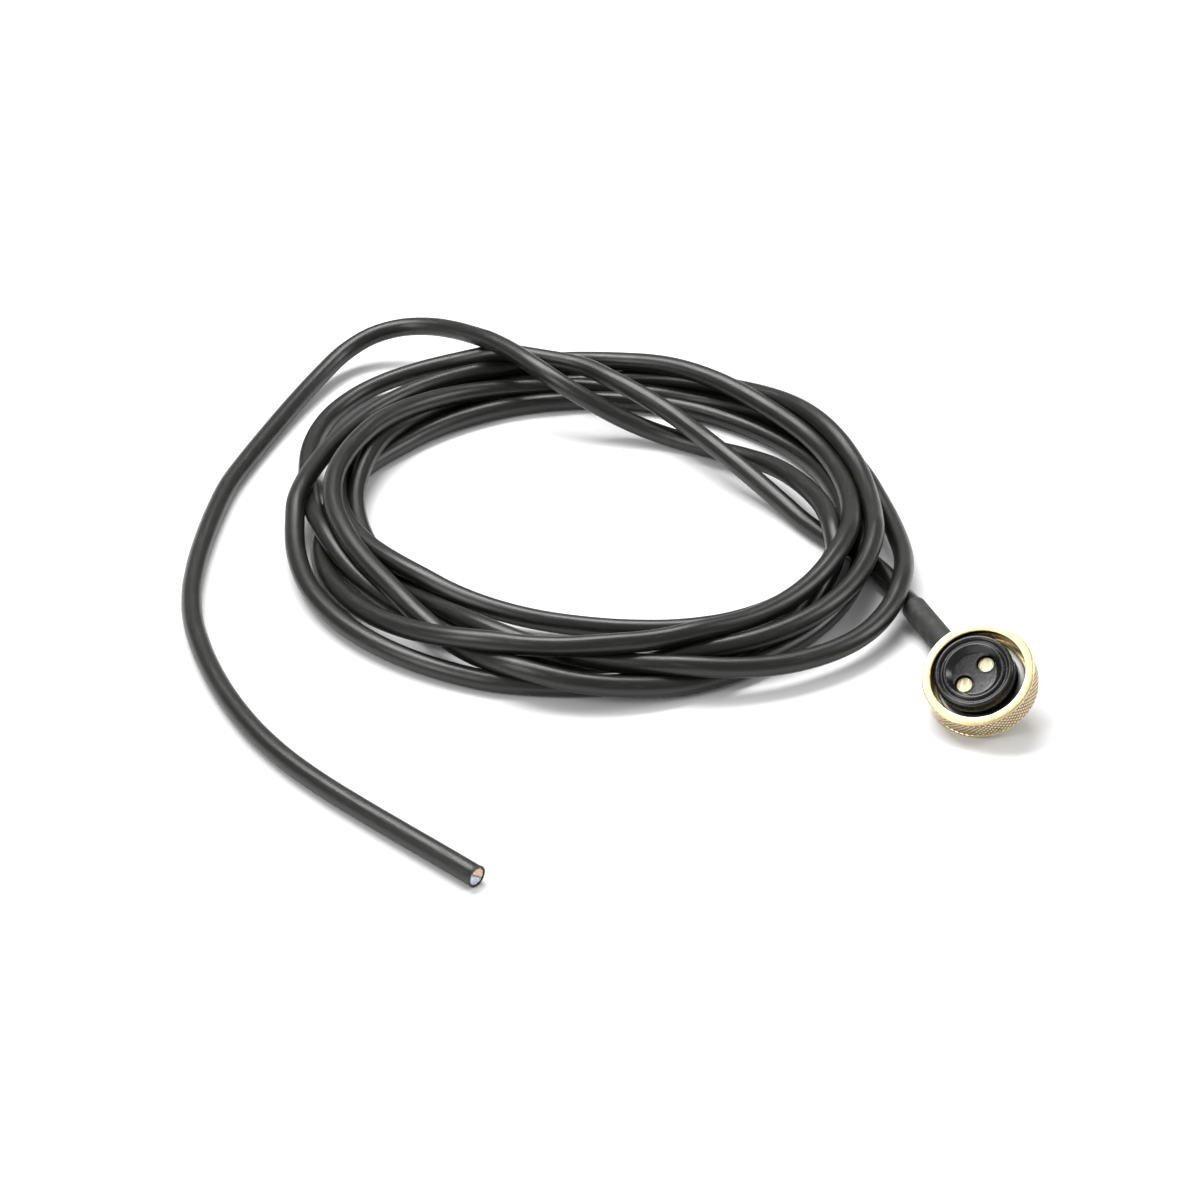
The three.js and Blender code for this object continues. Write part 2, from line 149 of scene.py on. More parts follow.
class Graph:
    """A node tree under construction."""

    def __init__(self, tree: bpy.types.NodeTree) -> None:
        """Keeps the tree."""
        self.tree = tree

    @staticmethod
    def _socket(sockets: Sequence[bpy.types.NodeSocket], key: int | str) -> bpy.types.NodeSocket:
        """A socket by its place, identifier or name."""
        if isinstance(key, int):
            return sockets[key]
        for socket in sockets:
            if key == socket.identifier:
                return socket
        return next(socket for socket in sockets if socket.name == key and socket.enabled)

    def node(self, kind: str, settings: dict | None = None, inputs: dict | None = None) -> bpy.types.Node:
        """One node.

        Args:
            kind: The node's type.
            settings: Its own settings, or the stops of a ramp; set before the sockets.
            inputs: Values or signals for its sockets.

        Returns:
            The node.
        """
        made = self.tree.nodes.new(kind)
        for name, value in (settings or {}).items():
            if name == "stops":
                self._set_stops(made.color_ramp, value)
            else:
                setattr(made, name, value)
        for key, value in (inputs or {}).items():
            socket = self._socket(made.inputs, key)
            if isinstance(value, Signal):
                self.tree.links.new(value.socket, socket)
            else:
                socket.default_value = value
        return made

    def add(
        self, kind: str, settings: dict | None = None, inputs: dict | None = None, output: int | str = 0
    ) -> Signal:
        """One node, for the sake of one of its outputs.

        Args:
            kind: The node's type.
            settings: Its own settings.
            inputs: Values or signals for its sockets.
            output: The output's place, identifier or name.

        Returns:
            The output.
        """
        made = self.node(kind, settings, inputs)
        return Signal(self, self._socket(made.outputs, output))

    @staticmethod
    def _set_stops(ramp: bpy.types.ColorRamp, stops: Sequence[tuple[float, Colour]]) -> None:
        """Fills a ramp from (place, colour) pairs."""
        while len(ramp.elements) < len(stops):
            ramp.elements.new(1.0)
        for element, (place, colour) in zip(ramp.elements, stops):
            element.position = place
            element.color = (*colour, 1.0)

    def vector(self, x: Signal | float, y: Signal | float, z: Signal | float) -> Signal:
        """A vector from three numbers."""
        return self.add("ShaderNodeCombineXYZ", inputs={0: x, 1: y, 2: z})

    def blend(self, share: Signal | float, first: Signal | Colour, second: Signal | Colour) -> Signal:
        """A colour between two colours."""
        pair = [
            value if isinstance(value, Signal) else (*value, 1.0) for value in (first, second)
        ]
        sockets = {"Factor_Float": share, "A_Color": pair[0], "B_Color": pair[1]}
        return self.add("ShaderNodeMix", {"data_type": "RGBA"}, sockets, "Result_Color")


class Paint(Graph):
    """The node tree of one material."""

    def __init__(self, name: str) -> None:
        """Starts an empty material of that name."""
        self.material = bpy.data.materials.new(name)
        self.material.use_nodes = True
        super().__init__(self.material.node_tree)
        self.tree.nodes.clear()

    def place(self, scale: float = 1.0) -> Signal:
        """The surface point in millimetres, times a scale."""
        point = self.add("ShaderNodeTexCoord", output="Object")
        factor = scale / MM
        return self.add(
            "ShaderNodeVectorMath", {"operation": "MULTIPLY"}, {0: point, 1: (factor, factor, factor)}
        )

    def turned_place(self, round_scale: float, along_scale: float) -> Signal:
        """A seamless place on a turned or drawn surface.

        Args:
            round_scale: How fast a pattern changes round the piece.
            along_scale: How fast it changes along the profile or the route, per millimetre.

        Returns:
            The place.
        """
        uv = self.add("ShaderNodeUVMap", {"uv_map": TURNING})
        split = self.node("ShaderNodeSeparateXYZ", inputs={0: uv})
        angle = Signal(self, split.outputs[0]) * TAU
        along = Signal(self, split.outputs[1]) * along_scale
        return self.vector(angle.cos() * round_scale, angle.sin() * round_scale, along)

    def off_axis(self, point: Vector, axis: Vector) -> Signal:
        """The distance of the surface point from a line, in millimetres.

        Args:
            point: A point of the line, in millimetres.
            axis: The line's direction.

        Returns:
            The distance.
        """
        offset = self.add("ShaderNodeVectorMath", {"operation": "SUBTRACT"}, {0: self.place(), 1: point})
        across = self.add("ShaderNodeVectorMath", {"operation": "CROSS_PRODUCT"}, {0: offset, 1: axis})
        return self.add("ShaderNodeVectorMath", {"operation": "LENGTH"}, {0: across}, "Value")

    def cloud(self, place: Signal, scale: float, detail: float = 3.0, rough: float = 0.55) -> Signal:
        """Soft noise between 0 and 1."""
        sockets = {"Vector": place, "Scale": scale, "Detail": detail, "Roughness": rough}
        return self.add("ShaderNodeTexNoise", inputs=sockets)

    def window(self, value: Signal, low: float, high: float) -> Signal:
        """0 below low, 1 above high, and a smooth step between."""
        sockets = {"Value": value, "From Min": low, "From Max": high}
        return self.add("ShaderNodeMapRange", {"interpolation_type": "SMOOTHSTEP"}, sockets)

    def bump(self, height: Signal, depth: float) -> Signal:
        """A bump of that depth in millimetres."""
        sockets = {"Height": height, "Distance": depth * MM, "Strength": 1.0}
        return self.add("ShaderNodeBump", inputs=sockets)

    def finish(self, **sockets: Signal | float | Colour) -> bpy.types.Material:
        """Ends in one Principled shader.

        Args:
            **sockets: Its sockets by name, with _ for each space.

        Returns:
            The material.
        """
        named = {name.replace("_", " "): value for name, value in sockets.items()}
        for name, value in named.items():
            if isinstance(value, tuple):
                named[name] = (*value, 1.0)
        shader = self.add("ShaderNodeBsdfPrincipled", inputs=named)
        self.node("ShaderNodeOutputMaterial", inputs={0: shader})
        return self.material


# ---------------------------------------------------------------- finishes


@dataclass(frozen=True)
class CableSheath:
    """Black satin sheath with drawn streaks, scuffs and a little dust."""

    colour: Colour = (0.0060, 0.0066, 0.0044)
    scuffed: Colour = (0.023, 0.024, 0.018)
    dust: Colour = (0.20, 0.20, 0.18)
    roughness: float = 0.30

    def make(self) -> bpy.types.Material:
        """The material."""
        paint = Paint("cable_sheath")
        streaks = paint.cloud(paint.turned_place(3.4, 0.012), 2.0, 4.0, 0.6)
        drag = paint.cloud(paint.turned_place(9.0, 0.05), 1.6, 2.0)
        scuffs = paint.window(paint.cloud(paint.turned_place(1.5, 0.06), 2.2, 5.0, 0.65), 0.50, 0.74)
        grain = paint.cloud(paint.place(), 2.6, 2.0)
        specks = paint.window(paint.cloud(paint.turned_place(4.2, 1.1), 2.4, 1.0), 0.80, 0.84)
        worn = paint.blend(scuffs * 0.55 + streaks * 0.25, self.colour, self.scuffed)
        dusted = paint.blend(specks * 0.6, worn, self.dust)
        rough = self.roughness + streaks * 0.10 + scuffs * 0.16 + grain * 0.05 - 0.06
        relief = paint.bump(streaks * 0.5 + drag * 0.25 + grain * 0.25, 0.09)
        return paint.finish(Base_Color=dusted, Roughness=rough, Normal=relief, IOR=1.5)


@dataclass(frozen=True)
class NeckRubber:
    """Matt rubber with a greenish cast and a rubbed, slightly greyed skin."""

    colour: Colour = (0.020, 0.021, 0.018)
    rubbed: Colour = (0.052, 0.053, 0.047)
    roughness: float = 0.58

    def make(self) -> bpy.types.Material:
        """The material."""
        paint = Paint("neck_rubber")
        patches = paint.cloud(paint.place(), 0.22, 4.0, 0.6)
        skin = paint.cloud(paint.place(), 3.4, 3.0)
        rubbed = paint.window(patches, 0.42, 0.70)
        colour = paint.blend(rubbed * 0.7 + skin * 0.15, self.colour, self.rubbed)
        rough = self.roughness + skin * 0.12 - rubbed * 0.06
        return paint.finish(
            Base_Color=colour, Roughness=rough, Normal=paint.bump(skin, 0.05), IOR=1.48
        )


@dataclass(frozen=True)
class BlackMoulding:
    """Hard glossy moulding with flow swirls, fine scratches and greyed patches."""

    colour: Colour = (0.0045, 0.0046, 0.0048)
    greyed: Colour = (0.026, 0.024, 0.021)
    roughness: float = 0.17

    def make(self) -> bpy.types.Material:
        """The material."""
        paint = Paint("black_moulding")
        flow = paint.cloud(paint.place(), 0.30, 4.0, 0.6)
        bent = paint.add(
            "ShaderNodeVectorMath", {"operation": "MULTIPLY"}, {0: paint.place(), 1: (4.2, 0.6, 1.5)}
        )
        scratches = paint.window(paint.cloud(bent, 1.3, 2.0), 0.60, 0.72)
        grime_and_shade = paint.window(paint.cloud(paint.place(), 0.9, 4.0, 0.65), 0.48, 0.76)
        colour = paint.blend(grime_and_shade * 0.55 + flow * 0.12, self.colour, self.greyed)
        rough = self.roughness + grime_and_shade * 0.20 + scratches * 0.09 + flow * 0.05
        relief = paint.bump(flow * 0.7 + scratches * 0.15, 0.10)
        return paint.finish(
            Base_Color=colour, Roughness=rough, Normal=relief, Coat_Weight=0.15 - grime_and_shade * 0.12, IOR=1.46
        )


@dataclass(frozen=True)
class TurnedBrass:
    """Bright turned brass with circular tool marks and brown tarnish in patches."""

    name: str = "turned_brass"
    colour: Colour = (0.78, 0.62, 0.34)
    tarnish: Colour = (0.34, 0.20, 0.08)
    roughness: float = 0.17
    tarnish_share: float = 0.35

    def make(self) -> bpy.types.Material:
        """The material."""
        paint = Paint(self.name)
        marks = paint.cloud(paint.turned_place(0.5, 11.0), 2.0, 3.0, 0.7)
        patches = paint.cloud(paint.place(), 0.35, 4.0, 0.6)
        stained = paint.window(patches, 0.50, 0.78) * self.tarnish_share
        colour = paint.blend(stained, self.colour, self.tarnish)
        rough = self.roughness + stained * 0.25 + marks * 0.08
        return paint.finish(
            Base_Color=colour, Metallic=1.0, Roughness=rough, Normal=paint.bump(marks, 0.012)
        )


@dataclass(frozen=True)
class KnurledBrass:
    """Brass whose knurl is bright on the points and darker in the roots, with painted shade and some patchy
    grime there.
    """

    place: "PlugPlace"
    colour: Colour = (0.86, 0.72, 0.50)
    # colour of the knurl's roots: painted shade, with a little grime
    grime_and_shade: Colour = (0.10, 0.06, 0.025)
    root: float = 16.60
    point: float = 16.86
    roughness: float = 0.26

    def make(self) -> bpy.types.Material:
        """The material."""
        paint = Paint("knurled_brass")
        here = self.place.ring()
        distance = paint.off_axis(here.to_translation(), here.to_3x3().col[2])
        height = paint.window(distance, self.root, self.point)
        patches = paint.window(paint.cloud(paint.place(), 0.4, 4.0, 0.6), 0.35, 0.75)
        # painted shade in every root, from the knurl's depth, varied a little by grime patches; it also
        # dulls and roughens the metal there
        shaded_and_grimy = (1.0 - height) * (0.75 + patches * 0.25)
        colour = paint.blend(shaded_and_grimy, self.colour, self.grime_and_shade)
        rough = self.roughness + shaded_and_grimy * 0.35
        tooth = paint.bump(paint.cloud(paint.place(), 5.0, 2.0), 0.01)
        return paint.finish(Base_Color=colour, Metallic=1.0 - shaded_and_grimy * 0.35, Roughness=rough, Normal=tooth)


@dataclass(frozen=True)
class ContactBrass:
    """Pale worn contact metal with slanting rub marks."""

    colour: Colour = (0.52, 0.48, 0.35)
    dark: Colour = (0.22, 0.18, 0.10)
    roughness: float = 0.30

    def make(self) -> bpy.types.Material:
        """The material."""
        paint = Paint("contact_brass")
        stretched = paint.add(
            "ShaderNodeVectorMath", {"operation": "MULTIPLY"}, {0: paint.place(), 1: (3.4, 0.35, 0.35)}
        )
        turned = paint.add(
            "ShaderNodeVectorRotate", {"rotation_type": "Z_AXIS"}, {"Vector": paint.place(), "Angle": 0.35}
        )
        lined = paint.add(
            "ShaderNodeVectorMath", {"operation": "MULTIPLY"}, {0: turned, 1: (3.2, 0.25, 0.25)}
        )
        rubs = paint.cloud(lined, 1.2, 2.0)
        haze = paint.cloud(stretched, 0.4, 3.0)
        colour = paint.blend(paint.window(rubs, 0.32, 0.68) * 0.7 + haze * 0.2, self.colour, self.dark)
        rough = self.roughness + rubs * 0.18
        return paint.finish(
            Base_Color=colour, Metallic=1.0, Roughness=rough, Normal=paint.bump(rubs, 0.02)
        )


@dataclass(frozen=True)
class WasherSteel:
    """Bright steel with fine concentric brushing and a few dull spots."""

    colour: Colour = (0.34, 0.35, 0.35)
    dull: Colour = (0.20, 0.19, 0.18)
    roughness: float = 0.26

    def make(self) -> bpy.types.Material:
        """The material."""
        paint = Paint("washer_steel")
        brushing = paint.cloud(paint.turned_place(0.7, 9.0), 2.2, 3.0, 0.7)
        spots = paint.window(paint.cloud(paint.place(), 0.8, 4.0), 0.52, 0.74)
        colour = paint.blend(spots * 0.5, self.colour, self.dull)
        rough = self.roughness + brushing * 0.10 + spots * 0.18
        return paint.finish(
            Base_Color=colour, Metallic=1.0, Roughness=rough, Normal=paint.bump(brushing, 0.01)
        )


@dataclass(frozen=True)
class CoreInsulation:
    """Soft coloured insulation, a little uneven from the die and cloudy where it was cut."""

    name: str
    colour: Colour
    pale: Colour
    roughness: float = 0.45

    def make(self) -> bpy.types.Material:
        """The material."""
        paint = Paint(self.name)
        mottle = paint.cloud(paint.place(), 1.6, 4.0)
        colour = paint.blend(paint.window(mottle, 0.35, 0.7), self.colour, self.pale)
        rough = self.roughness + mottle * 0.15
        return paint.finish(Base_Color=colour, Roughness=rough, Normal=paint.bump(mottle, 0.03))


@dataclass(frozen=True)
class DrawnWire:
    """Fine drawn wire, freshly cut or soldered, darker in random patches."""

    name: str
    colour: Colour
    dark: Colour
    roughness: float = 0.38

    def make(self) -> bpy.types.Material:
        """The material."""
        paint = Paint(self.name)
        spread = paint.cloud(paint.place(), 3.0, 3.0)
        colour = paint.blend(paint.window(spread, 0.45, 0.72), self.colour, self.dark)
        rough = self.roughness + spread * 0.2
        return paint.finish(
            Base_Color=colour, Metallic=0.75, Roughness=rough, Normal=paint.bump(spread, 0.02)
        )


@dataclass(frozen=True)
class PaleBoard:
    """The plain pale board under the object."""

    colour: Colour = (0.90, 0.90, 0.90)

    def make(self) -> bpy.types.Material:
        """The material."""
        paint = Paint("pale_board")
        tooth = paint.cloud(paint.place(), 0.05, 2.0)
        shade = paint.blend(tooth * 0.5, self.colour, (0.885, 0.885, 0.885))
        return paint.finish(Base_Color=shade, Roughness=0.85)


@dataclass
class Finishes:
    """Every material of the object, made once."""

    sheath: bpy.types.Material = field(default_factory=lambda: CableSheath().make())
    rubber: bpy.types.Material = field(default_factory=lambda: NeckRubber().make())
    moulding: bpy.types.Material = field(default_factory=lambda: BlackMoulding().make())
    brass: bpy.types.Material = field(default_factory=lambda: TurnedBrass().make())
    knurl: bpy.types.Material = field(default_factory=lambda: KnurledBrass(PlugPlace()).make())
    contact: bpy.types.Material = field(default_factory=lambda: ContactBrass().make())
    steel: bpy.types.Material = field(default_factory=lambda: WasherSteel().make())
    brown: bpy.types.Material = field(
        default_factory=lambda: CoreInsulation(
            "brown_core", (0.20, 0.09, 0.045), (0.42, 0.27, 0.18)
        ).make()
    )
    blue: bpy.types.Material = field(
        default_factory=lambda: CoreInsulation("blue_core", (0.30, 0.40, 0.58), (0.66, 0.70, 0.78)).make()
    )
    copper: bpy.types.Material = field(
        default_factory=lambda: DrawnWire("copper_strands", (0.92, 0.70, 0.52), (0.45, 0.22, 0.12)).make()
    )
    tinned: bpy.types.Material = field(
        default_factory=lambda: DrawnWire("tinned_strands", (0.80, 0.83, 0.90), (0.45, 0.50, 0.62)).make()
    )


# ---------------------------------------------------------------- shapes


@dataclass
class Shape:
    """Points in millimetres and the faces between them, with a place on the surface for each corner."""

    points: np.ndarray
    faces: list[tuple[int, ...]]
    places: list[list[Corner]]

    def moved(self, matrix: Matrix) -> "Shape":
        """The same shape in another place."""
        grid = np.array(matrix)
        points = self.points @ grid[:3, :3].T + grid[:3, 3]
        return Shape(points, self.faces, self.places)

    def mesh(self, name: str, material: bpy.types.Material, angle: float = 35.0) -> bpy.types.Mesh:
        """A smooth mesh in metres, facing outwards.

        Args:
            name: The mesh's name.
            material: Its material.
            angle: Edges that turn more than this many degrees stay crisp.

        Returns:
            The mesh.
        """
        made = bpy.data.meshes.new(name)
        made.from_pydata([tuple(point * MM) for point in self.points], [], self.faces)
        corners = made.uv_layers.new(name=TURNING)
        for polygon, places in zip(made.polygons, self.places):
            for loop, place in zip(polygon.loop_indices, places):
                corners.data[loop].uv = place
        shell = bmesh.new()
        shell.from_mesh(made)
        bmesh.ops.recalc_face_normals(shell, faces=shell.faces)
        shell.to_mesh(made)
        shell.free()
        made.shade_smooth()
        made.set_sharp_from_angle(angle=math.radians(angle))
        made.materials.append(material)
        return made


def softened(corners: Sequence[Corner], radius: float, closed: bool, steps: int = 3) -> list[Corner]:
    """A profile with small arcs for corners.

    Args:
        corners: The profile's [radius, height] corners.
        radius: The most that an arc takes off each side.
        closed: Whether the profile is a loop.
        steps: Segments in an arc.

    Returns:
        The profile.
    """
    count = len(corners)
    made: list[Corner] = []
    for i, corner in enumerate(corners):
        if not closed and i in (0, count - 1):
            made.append(corner)
            continue
        here = Vector(corner)
        before, after = Vector(corners[i - 1]), Vector(corners[(i + 1) % count])
        back, forward = before - here, after - here
        reach = min(radius, 0.45 * back.length, 0.45 * forward.length)
        start, end = here + back.normalized() * reach, here + forward.normalized() * reach
        for k in range(steps + 1):
            t = k / steps
            point = start * (1 - t) ** 2 + here * 2 * t * (1 - t) + end * t**2
            made.append((point.x, point.y))
    return made


def turned(corners: Sequence[Corner], segments: int = 96, closed: bool = False) -> Shape:
    """A body of revolution about Z.

    Args:
        corners: Its [radius, height] profile, from axis to axis unless it is a loop.
        segments: Steps round the axis.
        closed: Whether the profile is a loop.

    Returns:
        The shape.
    """
    count = len(corners)
    lengths = [0.0]
    for i in range(1, count + 1):
        first, second = corners[i - 1], corners[i % count]
        lengths.append(lengths[-1] + math.dist(first, second))
    points: list[tuple[float, float, float]] = []
    rows: list[list[int]] = []
    for radius, height in corners:
        if radius == 0:
            rows.append([len(points)] * segments)
            points.append((0.0, 0.0, height))
            continue
        rows.append(list(range(len(points), len(points) + segments)))
        for k in range(segments):
            angle = TAU * k / segments
            points.append((radius * math.cos(angle), radius * math.sin(angle), height))
    faces: list[tuple[int, ...]] = []
    places: list[list[Corner]] = []
    for i in range(count if closed else count - 1):
        low, high = rows[i], rows[(i + 1) % count]
        for k in range(segments):
            following = (k + 1) % segments
            ring = [(low[k], k, i), (low[following], k + 1, i)]
            ring += [(high[following], k + 1, i + 1), (high[k], k, i + 1)]
            kept = [c for n, c in enumerate(ring) if c[0] not in [d[0] for d in ring[:n]]]
            faces.append(tuple(c[0] for c in kept))
            places.append([(c[1] / segments, lengths[c[2]]) for c in kept])
    return Shape(np.array(points), faces, places)


def drawn(centres: np.ndarray, radii: Sequence[float], sides: int) -> Shape:
    """A round bar along a line, closed at both ends.

    Args:
        centres: Points of its centre line.
        radii: Its radius at each point.
        sides: Steps round the line.

    Returns:
        The shape.
    """
    ahead = np.gradient(centres, axis=0)
    for i in range(1, len(ahead)):
        if np.linalg.norm(ahead[i]) < 1e-6 or np.dot(ahead[i], ahead[i - 1]) < 0:
            ahead[i] = ahead[i - 1]
    ahead /= np.linalg.norm(ahead, axis=1)[:, None]
    side = np.cross(ahead[0], (0.0, 0.0, 1.0))
    angles = TAU * np.arange(sides) / sides
    rows, along = [], [0.0]
    for i, centre in enumerate(centres):
        side = side - ahead[i] * np.dot(side, ahead[i])
        side /= np.linalg.norm(side)
        up = np.cross(side, ahead[i])
        circle = np.outer(np.cos(angles), side) + np.outer(np.sin(angles), up)
        rows.append(centre + radii[i] * circle)
        if i:
            along.append(along[-1] + float(np.linalg.norm(centres[i] - centres[i - 1])))
    points = np.concatenate([*rows, centres[:1], centres[-1:]])
    first, last = len(points) - 2, len(points) - 1
    faces: list[tuple[int, ...]] = []
    places: list[list[Corner]] = []
    for i in range(len(centres) - 1):
        for k in range(sides):
            n = (k + 1) % sides
            faces.append((i * sides + k, i * sides + n, (i + 1) * sides + n, (i + 1) * sides + k))
            low, high = k / sides, (k + 1) / sides
            places.append([(low, along[i]), (high, along[i]), (high, along[i + 1]), (low, along[i + 1])])
    base = (len(centres) - 1) * sides
    for k in range(sides):
        n = (k + 1) % sides
        low, high = k / sides, (k + 1) / sides
        faces += [(first, n, k), (last, base + k, base + n)]
        places += [[(low, 0.0), (high, 0.0), (low, 0.0)], [(low, along[-1])] * 3]
    return Shape(points, faces, places)


def joined(name: str, meshes: Sequence[bpy.types.Mesh]) -> bpy.types.Object:
    """One piece from several meshes.

    Args:
        name: The piece's name.
        meshes: Its meshes, which are used up.

    Returns:
        The piece, at the origin.
    """
    whole = bmesh.new()
    materials: list[bpy.types.Material] = []
    for mesh in meshes:
        start = len(whole.faces)
        whole.from_mesh(mesh)
        whole.faces.ensure_lookup_table()
        for material in mesh.materials:
            if material not in materials:
                materials.append(material)
        own = [materials.index(material) for material in mesh.materials]
        for face in whole.faces[start:]:
            face.material_index = own[face.material_index]
        bpy.data.meshes.remove(mesh)
    made = bpy.data.meshes.new(name)
    whole.to_mesh(made)
    whole.free()
    for material in materials:
        made.materials.append(material)
    return stood(name, made)


def stood(name: str, mesh: bpy.types.Mesh) -> bpy.types.Object:
    """An object at the origin that shows a mesh."""
    mesh.name = name
    piece = bpy.data.objects.new(name, mesh)
    bpy.context.scene.collection.objects.link(piece)
    return piece


def settled(carrier: bpy.types.Object, name: str) -> bpy.types.Mesh:
    """The plain mesh that a carrier and its modifiers make; the carrier goes.

    Args:
        carrier: The object with modifiers.
        name: The mesh's name.

    Returns:
        The mesh.
    """
    graph = bpy.context.evaluated_depsgraph_get()
    made = bpy.data.meshes.new_from_object(
        carrier.evaluated_get(graph), preserve_all_data_layers=True, depsgraph=graph
    )
    carrier.modifiers.clear()
    bpy.data.objects.remove(carrier)
    made.name = name
    return made


class Pattern(Graph):
    """A Geometry Nodes tree that stamps one small shape many times."""

    def __init__(self, name: str, sizes: dict[str, float | int]) -> None:
        """Starts a tree with named inputs.

        Args:
            name: The tree's name.
            sizes: Its number inputs.
        """
        super().__init__(bpy.data.node_groups.new(name, "GeometryNodeTree"))
        face = self.tree.interface
        face.new_socket("Geometry", in_out="OUTPUT", socket_type="NodeSocketGeometry")
        self.values: dict[str, float | int] = {}
        for label, value in sizes.items():
            kind = "NodeSocketInt" if isinstance(value, int) else "NodeSocketFloat"
            socket = face.new_socket(label, in_out="INPUT", socket_type=kind)
            self.values[socket.identifier] = value
        self.entry = self.node("NodeGroupInput")

    def size(self, label: str) -> Signal:
        """A named input."""
        return Signal(self, self.entry.outputs[label])

    def stamp(
        self, count: Signal, position: Signal, stamp: Signal, material: bpy.types.Material, **more: Signal
    ) -> None:
        """Ends the tree: a copy of the stamp at each position, made real and given its material.

        Args:
            count: How many points.
            position: The position of a point, by its index.
            stamp: The small shape.
            material: Its material.
            **more: Rotation, Scale or Selection of the copies.
        """
        points = self.add("GeometryNodePoints", inputs={"Count": count, "Position": position})
        stamped = {"Points": points, "Instance": stamp, **more}
        copies = self.add("GeometryNodeInstanceOnPoints", inputs=stamped)
        real = self.add("GeometryNodeRealizeInstances", inputs={0: copies})
        painted = self.add("GeometryNodeSetMaterial", inputs={"Geometry": real, "Material": material})
        self.node("NodeGroupOutput", inputs={0: painted})

    def run(self, name: str) -> bpy.types.Mesh:
        """The plain mesh that the tree makes."""
        carrier = stood(name, bpy.data.meshes.new(name))
        modifier = carrier.modifiers.new(name, "NODES")
        modifier.node_group = self.tree
        for identifier, value in self.values.items():
            modifier[identifier] = value
        return settled(carrier, name)


# ---------------------------------------------------------------- where the plug lies


@dataclass(frozen=True)
class PlugPlace:
    """How the plug lies on the board: on the ring's rear rim and on its level neck."""

    heading: float = math.radians(234.9)
    bend: float = math.radians(107.4)
    rim_radius: float = 16.65
    neck_drop: float = 4.8
    neck_height: float = 4.8
    ring_place: Corner = (1.7, -15.3)
    ring_sag: Corner = (1.6, math.radians(196))
    washer_sag: Corner = (0.9, math.radians(225))

    @property
    def tilt(self) -> float:
        """The rise of the plug's axis above the board."""
        rest = math.hypot(self.rim_radius, self.neck_drop)
        return math.acos(self.neck_height / rest) - math.atan2(self.neck_drop, self.rim_radius)

    @staticmethod
    def sagged(distance: float, angle: float) -> Vector:
        """The place of a loose piece's axis across the plug."""
        return Vector((distance * math.cos(angle), distance * math.sin(angle), 0.0))

    def body(self) -> Matrix:
        """The plug's frame: X in the plane of the bend, Z forwards along its axis."""
        tilt, heading = self.tilt, self.heading
        clocking = math.pi - math.asin(-math.tan(tilt) / math.tan(self.bend))
        axis = Vector((
            math.cos(tilt) * math.cos(heading),
            math.cos(tilt) * math.sin(heading),
            math.sin(tilt),
        ))
        level = Vector((-math.sin(heading), math.cos(heading), 0.0))
        steep = axis.cross(level)
        bendwards = level * math.cos(clocking) + steep * math.sin(clocking)
        turn = Matrix((bendwards, axis.cross(bendwards), axis)).transposed()
        ring = Vector((*self.ring_place, self.rim_radius * math.cos(tilt)))
        return Matrix.Translation(ring - turn @ self.sagged(*self.ring_sag)) @ turn.to_4x4()

    def ring(self) -> Matrix:
        """The loose ring's frame."""
        return self.body() @ Matrix.Translation(self.sagged(*self.ring_sag))

    def washer(self) -> Matrix:
        """The loose washer's frame."""
        return self.body() @ Matrix.Translation(self.sagged(*self.washer_sag))

    def neck(self) -> Matrix:
        """The neck's frame, Z along it from the plug's axis."""
        return self.body() @ Matrix.Translation((0, 0, -self.neck_drop)) @ Matrix.Rotation(self.bend, 4, "Y")


# ---------------------------------------------------------------- the cable


@dataclass(frozen=True)
class Turn:
    """One turn of the coil, by its radius and layer at eight points counter-clockwise from the back."""

    radii: tuple[float, ...]
    layers: tuple[float, ...]


